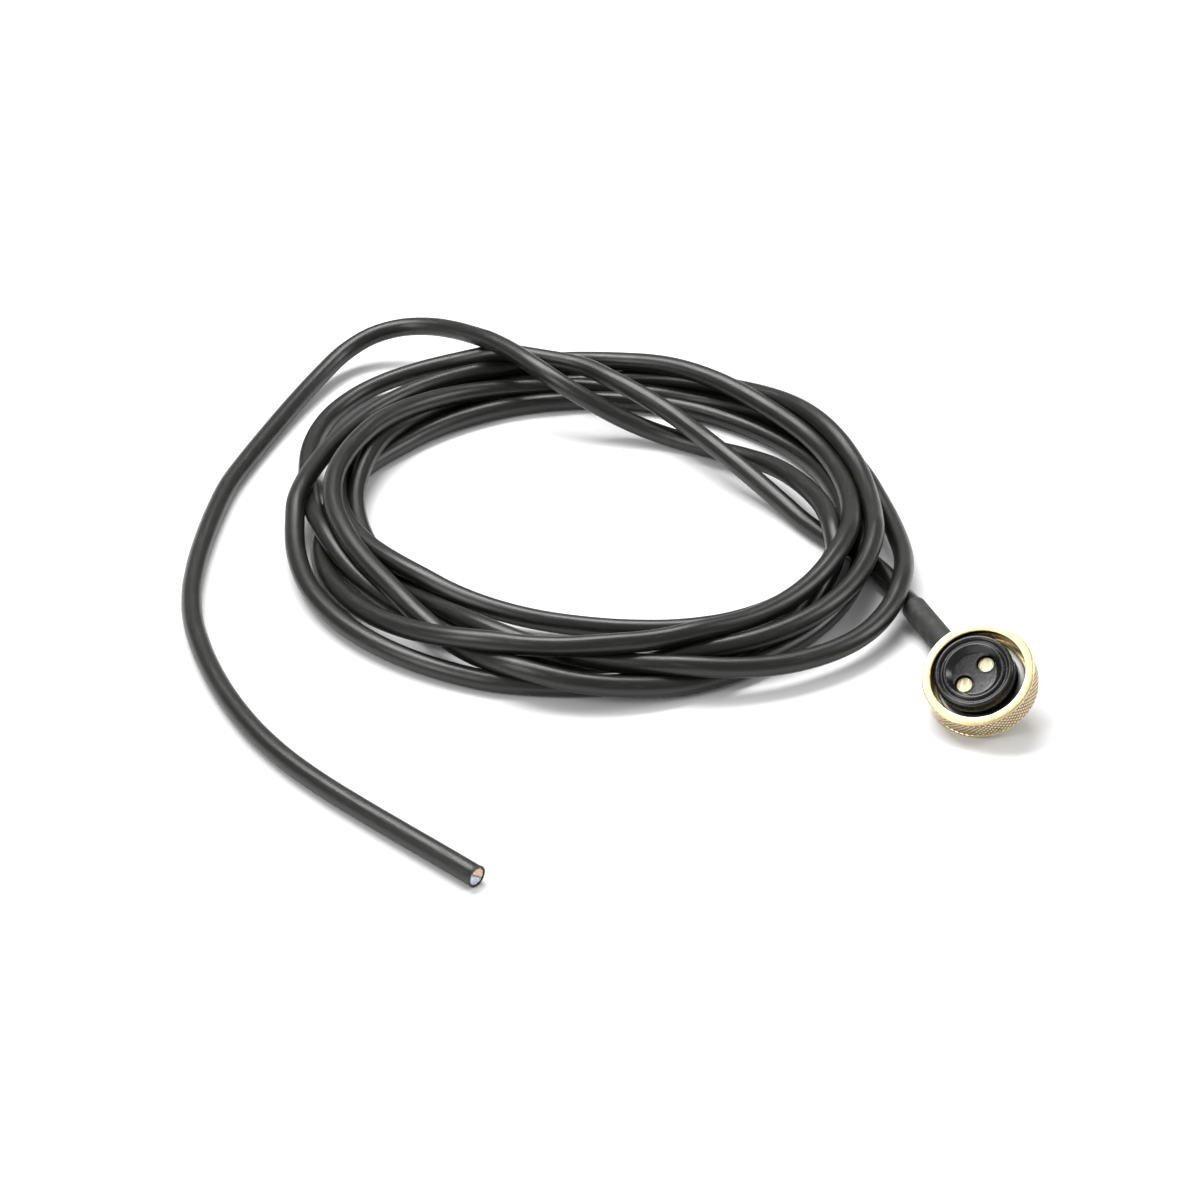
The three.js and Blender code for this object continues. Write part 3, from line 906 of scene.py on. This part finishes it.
@dataclass
class Cable:
    """The round cable: a lead from the plug, six loose turns, and a tail that ends cut."""

    finishes: Finishes
    diameter: float = 6.5
    sides: int = 20
    bead: float = 3.0  # between the points that the cable is settled by
    layer_height: float = 2.0
    coil_centre: Corner = (-119.0, 94.0)
    in_boot: float = 3.0
    wall: float = 0.55
    sink: float = 0.10  # fall of a free point in each round of the first half
    part: float = 0.8  # how much of each push apart a round makes
    hold: float = 0.03  # how far a round draws a move back to the line it should keep to
    sightline: float = math.radians(34.0)  # raised points lean by half of this line's run
    evening: tuple[float, Sequence[float]] = (12.0, (0.2, 0.2, 0.08))  # spread; x, y, z shares
    last_evening: tuple[float, Sequence[float]] = (5.0, (0.4, 0.4, 0.4))
    last_rounds: int = 12  # the rounds at the end that use the last evening
    lead: tuple = (
        (-14.899, 32.844, 5.004), (-19.2, 46, 4.7), (-23.5, 55.5, 3.9), (-31, 65.5, 3.25),
        (-38.8, 75, 3.25), (-46, 84.7, 3.4), (-52.7, 94.6, 4.6), (-60.2, 104, 6.8),
        (-67.9, 113.2, 9), (-75.6, 122.8, 10.6), (-82.6, 132.2, 11.4), (-90, 141.2, 12.4),
        (-98.5, 149.3, 13.6), (-108.6, 157.9, 14.6),
    )
    turns: tuple[Turn, ...] = (
        Turn((73.6, 105.6, 89.7, 83.7, 91.1, 103.6, 92.8, 85.7), (5.4, 1.8, 1.5, 1.4, 1, 4, 4, 3.4)),
        Turn((82.6, 77.8, 74.9, 74.7, 94.1, 120.4, 97, 82), (0.3, 2, 1.7, 1, 2.8, 4, 3, 2.6)),
        Turn((73.6, 76.5, 81.3, 83.8, 108, 103.8, 90.8, 85.5), (3, 4, 4, 4, 3.4, 2, 1.6, 1.6)),
        Turn((86.6, 85.3, 80.5, 71.5, 73.6, 87, 86.2, 75.5), (0.2, 1, 1.7, 2.4, 2.4, 2, 1.8, 1)),
        Turn((71, 71.8, 83.1, 95.9, 96.5, 94.4, 86.8, 80.9), (0, 0.4, 0, 3.5, 5, 5, 5, 5)),
        Turn((87, 86.2, 91, 106, 105.2, 96.5), (3.2, 5, 5.5, 5.1, 2.3, 0.8)),
    )
    tail: tuple = (
        (-41.2, 43.5, 9.8), (-37.2, 56, 10.1), (-37, 67, 10.1), (-38.6, 77.6, 10.3),
        (-41.6, 87.5, 10.3), (-46.8, 98.7, 9.8), (-54.4, 111.5, 8), (-64.6, 123, 5.2),
        (-75.6, 131, 3.6), (-85, 136.4, 3.5), (-95.8, 140.8, 5), (-107.2, 144.2, 8.8),
        (-118.2, 148, 13.6), (-127.5, 153, 17.2), (-136.4, 160.9, 19.4), (-145.4, 171.4, 19.6),
        (-155.2, 181.6, 18.4), (-165.4, 191.4, 16.4), (-175, 197.6, 14.4), (-185, 199.8, 12.6),
        (-195, 197.4, 10.6), (-204.2, 190.4, 7.8), (-211.6, 178.5, 5.6), (-217.8, 165.2, 4.4),
        (-223.3, 151.2, 3.8), (-228.4, 137, 3.4), (-233.2, 122.6, 3.25), (-237.5, 107.4, 3.25),
        (-240, 91.7, 3.25), (-241.7, 75.8, 3.25), (-242.6, 59.9, 3.25), (-242.3, 43.9, 3.25),
        (-240.1, 28, 3.25), (-235.8, 12.6, 3.25), (-230.1, -2.3, 3.25), (-223.2, -16.7, 3.25),
        (-215, -30.5, 3.25), (-205.4, -43.3, 3.25), (-194.6, -55, 3.25), (-183, -66, 3.25),
        (-171.1, -76.7, 3.25), (-159.1, -87.3, 3.25), (-147.1, -98, 3.25),
    )

    def coil(self, substeps: int = 4) -> list[tuple[float, float, float]]:
        """The turns' points, 8 times substeps in a turn.

        Args:
            substeps: Points for each eighth of a turn.

        Returns:
            The points of their centre line.
        """
        radii = np.concatenate([turn.radii for turn in self.turns])
        layers = np.concatenate([turn.layers for turn in self.turns])
        eighths = np.arange(0, len(radii) - 1 + 1e-9, 1 / substeps)
        angles = np.radians(90 + 45 * eighths)
        across, up = self._eased(radii, eighths), self._eased(layers, eighths)
        half = self.diameter / 2
        middle_x, middle_y = self.coil_centre
        return [
            (
                middle_x + r * math.cos(a),
                middle_y + r * math.sin(a),
                max(half, half + self.layer_height * layer),
            )
            for r, a, layer in zip(across, angles, up)
        ]

    @staticmethod
    def _eased(values: np.ndarray, at: np.ndarray) -> np.ndarray:
        """Values at equal steps, read between them along a smooth line."""
        i = np.clip(np.floor(at).astype(int), 0, len(values) - 2)
        f, slope = at - i, np.gradient(values)
        start = (2 * f**3 - 3 * f**2 + 1) * values[i] + (f**3 - 2 * f**2 + f) * slope[i]
        return start + (3 * f**2 - 2 * f**3) * values[i + 1] + (f**3 - f**2) * slope[i + 1]

    @staticmethod
    def smooth_line(route: Sequence[Sequence[float]], step: float) -> np.ndarray:
        """Evenly spaced points on one smooth curve through a route.

        Args:
            route: The points to pass.
            step: The spacing, in millimetres.

        Returns:
            The points.
        """
        points = np.asarray(route, float)
        gaps = np.sqrt(np.linalg.norm(np.diff(points, axis=0), axis=1))
        knots = np.concatenate([[0.0], np.cumsum(gaps)])
        speed = np.diff(points, axis=0) / gaps[:, None]
        slopes = np.empty_like(points)
        slopes[0], slopes[-1] = speed[0], speed[-1]
        share = (gaps[1:] / (knots[2:] - knots[:-2]))[:, None]
        slopes[1:-1] = speed[:-1] * share + speed[1:] * (1 - share)
        pieces = []
        t = np.linspace(0, 1, 12, endpoint=False)[:, None]
        for i, gap in enumerate(gaps):
            start = (2 * t**3 - 3 * t**2 + 1) * points[i] + (t**3 - 2 * t**2 + t) * gap * slopes[i]
            end = (3 * t**2 - 2 * t**3) * points[i + 1] + (t**3 - t**2) * gap * slopes[i + 1]
            pieces.append(start + end)
        dense = np.concatenate([*pieces, points[-1:]])
        run = np.concatenate([[0.0], np.cumsum(np.linalg.norm(np.diff(dense, axis=0), axis=1))])
        at = np.linspace(0, run[-1], int(round(run[-1] / step)) + 1)
        return np.stack([np.interp(at, run, dense[:, k]) for k in range(3)], 1)

    def settle(self, line: np.ndarray, free: slice, rounds: int = 320) -> np.ndarray:
        """Lets the turns sink onto each other, side by side and one over another.

        Args:
            line: Evenly spaced points of the cable.
            free: The stretch that sinks under its weight.
            rounds: How many small moves are made.

        Returns:
            The settled points.
        """
        thick, half = self.diameter, self.diameter / 2
        moved = np.zeros_like(line)
        weight = np.zeros(len(line))
        weight[free] = self.sink
        first, second = np.triu_indices(len(line), int(3 * thick / self.bead))
        apart = line[first, :2] - line[second, :2]
        near = np.hypot(apart[:, 0], apart[:, 1]) < 3 * thick
        first, second = first[near], second[near]
        lean = 0.5 / math.tan(self.sightline)
        for turn in range(rounds):
            here = line + moved
            gap = here[second] - here[first]
            distance = np.linalg.norm(gap, axis=1) + 1e-9
            hit = distance < thick
            one, other = first[hit], second[hit]
            push = (0.5 * (thick - distance[hit]) / distance[hit])[:, None] * gap[hit]
            shift, count = np.zeros_like(line), np.zeros(len(line))
            np.add.at(shift, other, push)
            np.add.at(shift, one, -push)
            np.add.at(count, other, 1)
            np.add.at(count, one, 1)
            moved += self.part * shift / np.sqrt(np.maximum(count, 1))[:, None]
            if turn < rounds / 2:
                moved[:, 2] -= weight
            moved[:, 0] *= 1 - self.hold
            moved[:, 1] += self.hold * (-lean * moved[:, 2] - moved[:, 1])
            last = turn >= rounds - self.last_rounds
            spread, shares = self.last_evening if last else self.evening
            moved = self._evened(moved, spread, shares)
            moved[0] = 0
            moved[:2] *= 0.5
            moved[:, 2] = np.maximum(line[:, 2] + moved[:, 2], half) - line[:, 2]
        return line + moved

    def _evened(self, moved: np.ndarray, spread: float, shares: Sequence[float]) -> np.ndarray:
        """The moves, partly averaged along the cable, which stands for its stiffness."""
        reach = int(3 * spread / self.bead)
        weights = np.exp(-0.5 * (np.arange(-reach, reach + 1) * self.bead / spread) ** 2)
        weights /= weights.sum()
        evened = np.empty_like(moved)
        for k, share in enumerate(shares):
            padded = np.pad(moved[:, k], reach, mode="edge")
            mean = np.convolve(padded, weights, "valid")
            evened[:, k] = (1 - share) * moved[:, k] + share * mean
        return evened

    def line(self) -> np.ndarray:
        """The cable's settled centre line."""
        route = [*self.lead, *self.coil(), *self.tail]
        points = self.smooth_line(route, self.bead)
        before = len(self.smooth_line(self.lead, self.bead)) + 7
        after = len(points) - len(self.smooth_line(self.tail, self.bead)) - 7
        return self.settle(points, slice(before, after))

    def make(self, place: PlugPlace) -> tuple[bpy.types.Object, list[list[float]], float]:
        """The sheath, with its cut end.

        Args:
            place: Where the plug lies.

        Returns:
            The piece, its centre line in metres, and its length in metres.
        """
        line = self.line()
        run = np.concatenate([[0.0], np.cumsum(np.linalg.norm(np.diff(line, axis=0), axis=1))])
        length = run[-1]
        inside = Vector(line[0]) - place.neck().to_3x3().col[2] * self.in_boot
        rows = np.concatenate([[inside], line[:-1]])
        half = self.diameter / 2
        radii = [half] * len(rows)
        ahead = (line[-1] - line[-2]) / np.linalg.norm(line[-1] - line[-2])
        bore = half - self.wall
        # The cut lip: (distance past the end, radius) outside, then back down the bore.
        ends = [
            (-1.2, half), (-0.5, half + 0.05), (-0.18, half + 0.12), (-0.05, half + 0.10),
            (0.0, half + 0.02), (0.0, bore + 0.06), (-0.06, bore), (-3.0, bore),
        ]
        extra = np.array([line[-1] + ahead * back for back, _ in ends])
        rows = np.concatenate([rows, extra])
        radii += [radius for _, radius in ends]
        shape = drawn(rows, radii, self.sides)
        piece = stood("cable", shape.mesh("cable", self.finishes.sheath, 60.0))
        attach(piece, Body.FIXED.value)
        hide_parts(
            "cable_lead", "cable_coil", "cable_outer_loop", "cable_chord", "cable_tail", "cut_sheath"
        )
        log.info("cable: %.2f m, highest point %.1f mm", length * MM, line[:, 2].max() + half)
        return piece, (line * MM).tolist(), float(length * MM)


@dataclass
class CutEnd:
    """The two bunched cores that show in the cut end of the cable."""

    finishes: Finishes
    bore: float = 2.68
    strand_radius: float = 0.17
    spacing: float = 0.37
    back: float = 3.2
    face: float = 0.22
    strand_proud: float = 0.13
    lean: float = math.radians(48)  # of the line between the cores
    divide: float = 0.07
    span: int = 16

    def half_disc(self, side: float) -> Shape:
        """A D-shaped bar of insulation."""
        steps = 20
        outline = [(side * self.divide, -math.sqrt(self.bore**2 - self.divide**2))]
        for k in range(1, steps):
            angle = -math.pi / 2 + math.pi * k / steps
            across = max(self.divide, self.bore * math.cos(angle))
            outline.append((side * across, self.bore * math.sin(angle)))
        outline.append((side * self.divide, -outline[0][1]))
        count = len(outline)
        rows = [(-self.back, 1.0), (-self.face - 0.12, 1.0), (-self.face, 0.94)]
        points = [(x * grow, y * grow, z) for z, grow in rows for x, y in outline]
        faces: list[tuple[int, ...]] = [tuple(range(count)), tuple(range(2 * count, 3 * count))]
        for row in (0, count):
            for k in range(count):
                n = (k + 1) % count
                faces.append((row + k, row + n, row + count + n, row + count + k))
        return Shape(np.array(points), faces, [[(0.0, 0.0)] * len(face) for face in faces])

    def strands(self, core: Core, material: bpy.types.Material) -> bpy.types.Mesh:
        """The strands of one core, packed side by side in its half of the bore."""
        sizes = {
            "Span": self.span, "Spacing": self.spacing, "Bore": self.bore - 0.26,
            "Divide": self.divide + 0.24, "Side": float(core.value), "Back": self.face + 1.0,
            "Strand Radius": self.strand_radius, "Strand Length": 1.0 + self.strand_proud,
        }
        pattern = Pattern("bunched_strands_" + core.name.lower(), sizes)
        index = pattern.add("GeometryNodeInputIndex")
        span = pattern.size("Span")
        row = (index / span).floor()
        column = index - row * span
        middle = (span - 1.0) * 0.5
        x = (column - middle + (row % 2.0) * 0.5) * pattern.size("Spacing")
        y = (row - middle) * pattern.size("Spacing") * 0.866
        uneven = {"Min_001": -0.05, "Max_001": 0.05, "Seed": 7}
        jitter = pattern.add("FunctionNodeRandomValue", {"data_type": "FLOAT"}, uneven, "Value_001")
        in_bore = ((x * x + y * y) ** 0.5) < pattern.size("Bore")
        inside = in_bore * ((x * pattern.size("Side")) > pattern.size("Divide"))
        place = pattern.vector(x, y, jitter - pattern.size("Back") + pattern.size("Strand Length") * 0.5)
        strand = {
            "Vertices": 10,
            "Radius": pattern.size("Strand Radius"),
            "Depth": pattern.size("Strand Length"),
        }
        wire = pattern.add("GeometryNodeMeshCylinder", inputs=strand)
        pattern.stamp(span * span, place, wire, material, Selection=inside)
        return pattern.run("strands_" + core.name.lower())

    def make(self, line: list[list[float]]) -> list[bpy.types.Object]:
        """Both cores in the cable's end.

        Args:
            line: The cable's centre line, in metres.

        Returns:
            The pieces.
        """
        end, before = Vector(line[-1]), Vector(line[-2])
        ahead = (end - before).normalized()
        side = Vector((-ahead.y, ahead.x, 0.0)).normalized()
        up = ahead.cross(side)
        across = side * math.cos(self.lean) + up * math.sin(self.lean)
        turn = Matrix((across, ahead.cross(across), ahead)).transposed()
        frame_here = Matrix.Translation(end / MM) @ turn.to_4x4()
        looks = {
            Core.BROWN: (self.finishes.brown, self.finishes.copper),
            Core.BLUE: (self.finishes.blue, self.finishes.tinned),
        }
        pieces = []
        for core, (insulation, wire) in looks.items():
            colour = core.name.lower()
            bar = self.half_disc(core.value).moved(frame_here).mesh("insulation_" + colour, insulation)
            wires = self.strands(core, wire)
            wires.transform(frame_here)
            wires.transform(Matrix.Scale(MM, 4))
            piece = joined("cut_core_" + colour, [bar, wires])
            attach(piece, Body.FIXED.value)
            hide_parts("cut_insulation_" + colour, "cut_strands_" + colour)
            pieces.append(piece)
            log.info("%s: %d faces", piece.name, len(piece.data.polygons))
        return pieces


# ---------------------------------------------------------------- the plug


@dataclass
class CouplingRing:
    """The loose brass ring: a turned body with a polished lip and a diamond-knurled band."""

    finishes: Finishes
    place: PlugPlace
    radius: float = 16.95
    length: float = 8.8
    hole: float = 12.0
    flange: float = 1.4
    relief: float = 15.4
    lip_bore: float = 14.3
    lip_length: float = 2.4
    knurl_depth: float = 0.38
    knurl_around: int = 62
    knurl_rows: int = 8
    knurl_from: float = 0.9
    knurl_to: float = 7.9

    def body(self) -> Shape:
        """The turned body, with the band cut down to the knurl's roots."""
        top, root = self.length, self.radius - self.knurl_depth
        rim = self.radius - 0.03
        corners = [
            (self.hole, 0.0), (rim - 0.35, 0.0), (rim, 0.32), (rim, self.knurl_from - 0.12),
            (root, self.knurl_from), (root, self.knurl_to), (rim, self.knurl_to + 0.10),
            (rim, top - 0.22), (rim - 0.22, top), (self.lip_bore + 0.14, top), (self.lip_bore, top - 0.14),
            (self.lip_bore, top - self.lip_length), (self.relief, top - self.lip_length - 0.7),
            (self.relief, self.flange), (self.hole, self.flange),
        ]
        return turned(softened(corners, 0.12, closed=True), 144, closed=True)

    def knurl(self) -> bpy.types.Mesh:
        """Rows of small diamonds, each row half a step round from the last."""
        pitch = (self.knurl_to - self.knurl_from) / self.knurl_rows
        sizes = {
            "Around": self.knurl_around, "Rows": self.knurl_rows + 1,
            "Root": self.radius - self.knurl_depth - 0.02,
            "From": self.knurl_from, "Pitch": pitch, "Height": self.knurl_depth,
            "Half Step": math.pi * self.radius / self.knurl_around,
        }
        pattern = Pattern("diamond_knurl", sizes)
        index = pattern.add("GeometryNodeInputIndex")
        around = pattern.size("Around")
        row = (index / around).floor()
        column = index - row * around
        angle = (column + (row % 2.0) * 0.5) * TAU / around
        root = pattern.size("Root")
        height = row * pattern.size("Pitch") + pattern.size("From")
        position = pattern.vector(angle.cos() * root, angle.sin() * root, height)
        diamond = pattern.add(
            "GeometryNodeMeshCone",
            {"fill_type": "NGON"},
            {"Vertices": 4, "Radius Top": 0.0, "Radius Bottom": 1.0, "Depth": pattern.size("Height")},
        )
        rotation = pattern.vector(0.0, math.pi / 2, angle)
        scale = pattern.vector(pattern.size("Pitch") * 0.98, pattern.size("Half Step") * 0.98, 1.0)
        count = around * pattern.size("Rows")
        pattern.stamp(
            count, position, diamond, self.finishes.knurl, Rotation=rotation, Scale=scale
        )
        return pattern.run("knurl")

    def make(self) -> bpy.types.Object:
        """The ring."""
        here = self.place.ring()
        body = self.body().moved(here).mesh("ring_body", self.finishes.brass, 40.0)
        knurl = self.knurl()
        knurl.transform(here)
        knurl.transform(Matrix.Scale(MM, 4))
        piece = joined("coupling_ring_knurled", [body, knurl])
        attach(piece, Body.RING.value)
        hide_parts("coupling_ring")
        log.info("coupling ring: %d faces", len(piece.data.polygons))
        return piece


@dataclass
class ThrustWasher:
    """The loose steel washer behind the insert's head."""

    finishes: Finishes
    place: PlugPlace
    radius: float = 13.4
    hole: float = 11.3
    rear: float = 1.7
    thickness: float = 0.9

    def make(self) -> bpy.types.Object:
        """The washer."""
        low, high = self.rear, self.rear + self.thickness
        corners = [(self.hole, low), (self.radius, low), (self.radius, high), (self.hole, high)]
        shape = turned(softened(corners, 0.16, closed=True), 120, closed=True)
        piece = stood("washer", shape.moved(self.place.washer()).mesh("washer", self.finishes.steel, 50.0))
        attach(piece, Body.WASHER.value)
        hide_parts("thrust_washer")
        log.info("washer: %d faces", len(piece.data.polygons))
        return piece


@dataclass
class ContactInsert:
    """The black insert with its grooved face and dish, and the two contacts in it."""

    finishes: Finishes
    place: PlugPlace
    front: float = 9.0
    head_radius: float = 12.0
    head_rear: float = 5.2
    stem_radius: float = 10.0
    spigot_radius: float = 8.5
    spigot_rear: float = -1.2
    dish_radius: float = 8.4
    dish_floor: float = 6.8
    contact_radius: float = 2.5
    contact_front: float = 6.0
    contact_rear: float = -2.4
    spacing: float = 8.9
    clocking: float = math.radians(-80)

    def contact_place(self, side: int) -> Matrix:
        """The frame of a contact."""
        offset = PlugPlace.sagged(side * self.spacing / 2, self.clocking)
        return self.place.body() @ Matrix.Translation(offset)

    def bored(self) -> bpy.types.Mesh:
        """The insert with its two bores."""
        top = self.front
        corners = [
            (0.0, self.spigot_rear), (self.spigot_radius, self.spigot_rear), (self.spigot_radius, 0.0),
            (self.stem_radius, 0.0), (self.stem_radius, self.head_rear), (self.head_radius, self.head_rear),
            (self.head_radius, top - 0.7), (self.head_radius - 0.45, top), (self.head_radius - 1.4, top),
            (self.head_radius - 1.75, top - 0.8), (self.head_radius - 2.5, top - 0.8),
            (self.head_radius - 2.8, top - 0.2), (self.dish_radius, top - 0.2),
            (self.dish_radius - 1.6, self.dish_floor), (0.0, self.dish_floor),
        ]
        shape = turned(softened(corners, 0.3, closed=False), 128)
        carrier = stood("insert", shape.moved(self.place.body()).mesh("insert", self.finishes.moulding))
        cutters = []
        for core in Core:
            bore = turned([(0.0, -4.0), (2.72, -4.0), (2.72, top), (0.0, top)], 48)
            mesh = bore.moved(self.contact_place(core.value)).mesh("bore", self.finishes.moulding)
            cutter = stood("bore", mesh)
            cutters.append(cutter)
            modifier = carrier.modifiers.new("bore", "BOOLEAN")
            modifier.operation, modifier.solver, modifier.object = "DIFFERENCE", "EXACT", cutter
        made = settled(carrier, "insert")
        for cutter in cutters:
            bpy.data.objects.remove(cutter)
        made.set_sharp_from_angle(angle=math.radians(35))
        return made

    def rim(self, side: int) -> bpy.types.Mesh:
        """The thin raised rim round a bore."""
        floor = self.dish_floor
        corners = [(2.74, floor - 0.2), (3.3, floor - 0.2), (3.22, floor + 0.16), (2.86, floor + 0.16)]
        shape = turned(softened(corners, 0.1, closed=True), 64, closed=True)
        return shape.moved(self.contact_place(side)).mesh("rim", self.finishes.moulding)

    def make(self) -> list[bpy.types.Object]:
        """The insert and its contacts."""
        meshes = [self.bored()] + [self.rim(core.value) for core in Core]
        insert = joined("insert_moulded", meshes)
        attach(insert, Body.FIXED.value)
        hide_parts("contact_insert")
        pieces = [insert]
        for core in Core:
            colour = core.name.lower()
            r, front, rear = self.contact_radius, self.contact_front, self.contact_rear
            corners = [
                (0.0, rear + 2.0), (1.0, rear + 2.0), (1.0, rear), (1.7, rear), (1.7, 1.0), (r, 1.0),
                (r, front - 0.28), (r - 0.18, front), (r - 0.42, front - 0.02), (r - 0.52, front - 0.10),
                (0.0, front - 0.08),
            ]
            shape = turned(softened(corners, 0.07, closed=False), 64).moved(self.contact_place(core.value))
            contact = stood("contact_face_" + colour, shape.mesh("contact", self.finishes.contact))
            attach(contact, Body.FIXED.value)
            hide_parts("contact_" + colour)
            pieces.append(contact)
        log.info("insert: %d faces, with %d contacts", len(insert.data.polygons), len(pieces) - 1)
        return pieces


@dataclass
class Elbow:
    """The moulded housing behind the ring, with its neck, and the tapered boot on the neck."""

    finishes: Finishes
    place: PlugPlace
    dome_radius: float = 10.9
    collar_radius: float = 14.0
    collar_rear: float = -1.6
    collar_front: float = -0.3
    dome_rear: float = -8.2
    neck_radius: float = 4.3
    neck_length: float = 14.7
    boot_from: float = 15.0
    boot_length: float = 33.0
    boot_front: float = 4.2
    boot_end: float = 4.0
    bore: float = 3.45
    grain: float = 0.35

    def housing(self) -> bpy.types.Object:
        """The housing, its dome running into the neck with a moulded fillet."""
        drop = self.place.neck_drop
        corners = [
            (0.0, self.dome_rear), (4.4, self.dome_rear + 0.8), (7.6, -drop - 0.8),
            (self.dome_radius - 1.5, -drop + 0.3), (self.dome_radius, -drop + 1.4),
            (self.dome_radius, self.collar_rear), (self.collar_radius, self.collar_rear),
            (self.collar_radius, self.collar_front), (0.0, self.collar_front),
        ]
        dome = turned(softened(corners, 0.5, closed=False), 120).moved(self.place.body())
        end = self.neck_length
        neck = turned([(0.0, 0.0), (self.neck_radius, 0.0), (self.neck_radius, end), (0.0, end)], 72)
        meshes = [
            dome.mesh("dome", self.finishes.moulding),
            neck.moved(self.place.neck()).mesh("neck", self.finishes.moulding),
        ]
        carrier = joined("housing", meshes)
        remesh = carrier.modifiers.new("moulded", "REMESH")
        remesh.mode, remesh.voxel_size, remesh.use_smooth_shade = "VOXEL", self.grain * MM, True
        smooth = carrier.modifiers.new("fillet", "CORRECTIVE_SMOOTH")
        smooth.use_only_smooth, smooth.factor, smooth.iterations = True, 0.5, 5
        made = settled(carrier, "elbow")
        made.materials.clear()
        made.materials.append(self.finishes.moulding)
        made.shade_smooth()
        return stood("elbow_moulded", made)

    def boot(self) -> bpy.types.Object:
        """The tapered boot."""
        start, end = self.boot_from, self.boot_from + self.boot_length
        corners = [
            (self.bore, start), (self.boot_front, start), (self.boot_front - 0.05, start + 6),
            (self.boot_end + 0.10, end - 12), (self.boot_end, end - 0.8), (self.boot_end - 0.35, end),
            (self.bore - 0.15, end), (self.bore, end - 1.0),
        ]
        profile = softened(corners, 0.5, closed=True, steps=4)
        shape = turned(profile, 72, closed=True).moved(self.place.neck())
        mesh = shape.mesh("boot", self.finishes.rubber, 50.0)
        return stood("boot_tapered", mesh)

    def make(self) -> list[bpy.types.Object]:
        """Both pieces."""
        housing, boot = self.housing(), self.boot()
        for piece, node, slot in (
            (housing, "elbow_housing", "moulding"),
            (boot, "strain_relief_boot", "neck_rubber"),
        ):
            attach(piece, Body.FIXED.value)
            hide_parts(node)
            log.info("%s: %d faces", piece.name, len(piece.data.polygons))
        return [housing, boot]


# ---------------------------------------------------------------- the stand


@dataclass(frozen=True)
class Stand:
    """The camera, the board and the lights."""

    aim: tuple[float, float, float] = (-0.113, 0.044, 0.0)
    distance: float = 0.9413
    pitch: float = math.radians(34.0)
    lens: float = 88.95

    def camera(self) -> None:
        """The camera."""
        data = bpy.data.cameras.new("camera")
        data.lens, data.sensor_width = self.lens, 36.0
        camera = bpy.data.objects.new("camera", data)
        back = Vector((0.0, -math.cos(self.pitch), math.sin(self.pitch)))
        camera.location = Vector(self.aim) + back * self.distance
        camera.rotation_euler = (math.pi / 2 - self.pitch, 0.0, 0.0)
        bpy.context.scene.collection.objects.link(camera)
        bpy.context.scene.camera = camera

    def board(self) -> None:
        """The pale board, which turns up far behind the object."""
        size, steps, rise = 6.0, 24, 1.6
        rows = [(-size, 0.0), (1.6, 0.0)]
        for k in range(1, steps + 1):
            angle = math.pi / 2 * k / steps
            rows.append((1.6 + rise * math.sin(angle), rise * (1 - math.cos(angle))))
        rows.append((1.6 + rise, 4.0))
        points = [(x, y, z) for y, z in rows for x in (-size, size)]
        faces = [(2 * k, 2 * k + 1, 2 * k + 3, 2 * k + 2) for k in range(len(rows) - 1)]
        mesh = bpy.data.meshes.new("board")
        mesh.from_pydata(points, [], faces)
        mesh.shade_smooth()
        mesh.materials.append(PaleBoard().make())
        stood("board", mesh)

    def lamp(
        self, name: str, place: Sequence[float], aim: Sequence[float], size: Corner, power: float
    ) -> None:
        """One soft box.

        Args:
            name: Its name.
            place: Where it is.
            aim: The point it faces.
            size: Its width and depth.
            power: Its power in watts.
        """
        data = bpy.data.lights.new(name, "AREA")
        data.shape, data.size, data.size_y, data.energy = "RECTANGLE", *size, power
        lamp = bpy.data.objects.new(name, data)
        lamp.location = place
        lamp.rotation_euler = (Vector(aim) - Vector(place)).to_track_quat("-Z", "Y").to_euler()
        bpy.context.scene.collection.objects.link(lamp)

    def lights(self) -> None:
        """A soft box and a weaker panel overhead, two fills, and a pale surround."""
        self.lamp("soft_box", (-0.35, 0.60, 1.20), (-0.1, 0.05, 0.0), (1.2, 0.5), 22.0)
        self.lamp("fill", (-1.1, -0.7, 0.8), (-0.1, 0.05, 0.0), (0.5, 0.8), 7.0)
        self.lamp("side", (1.1, 0.2, 0.7), (-0.05, 0.0, 0.0), (0.4, 0.8), 6.0)
        self.lamp("panel", (-0.72, 0.14, 1.2), (0.0, -0.01, 0.01), (0.55, 0.55), 1.5)
        world = bpy.data.worlds.new("surround")
        world.use_nodes = True
        sky = world.node_tree.nodes["Background"]
        sky.inputs["Color"].default_value = (1.0, 1.0, 1.0, 1.0)
        sky.inputs["Strength"].default_value = 0.42
        bpy.context.scene.world = world
        bpy.context.scene.view_settings.view_transform = "Standard"


def dress_hidden(finishes: Finishes) -> None:
    """Gives the nodes inside the elbow their finishes.

    Args:
        finishes: The materials.
    """
    looks = {
        "soldered_end_brown": finishes.tinned,
        "soldered_end_blue": finishes.tinned,
        "core_in_elbow_brown": finishes.brown,
        "core_in_elbow_blue": finishes.blue,
        "sheath_in_neck": finishes.rubber,
    }
    for name, material in looks.items():
        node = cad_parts[name]
        for slot in node.material_slots:
            slot.material = material
        log.info("%s: dressed in %s", name, material.name)


def main() -> None:
    logging.basicConfig(level=logging.INFO, format="%(name)s %(message)s")
    stand = Stand()
    stand.camera()
    finishes = Finishes()
    place = PlugPlace()
    cable, line, length = Cable(finishes).make(place)
    cores = CutEnd(finishes).make(line)
    CouplingRing(finishes, place).make()
    ThrustWasher(finishes, place).make()
    ContactInsert(finishes, place).make()
    Elbow(finishes, place).make()
    dress_hidden(finishes)
    stand.board()
    stand.lights()


if __name__ == "__main__":
    main()
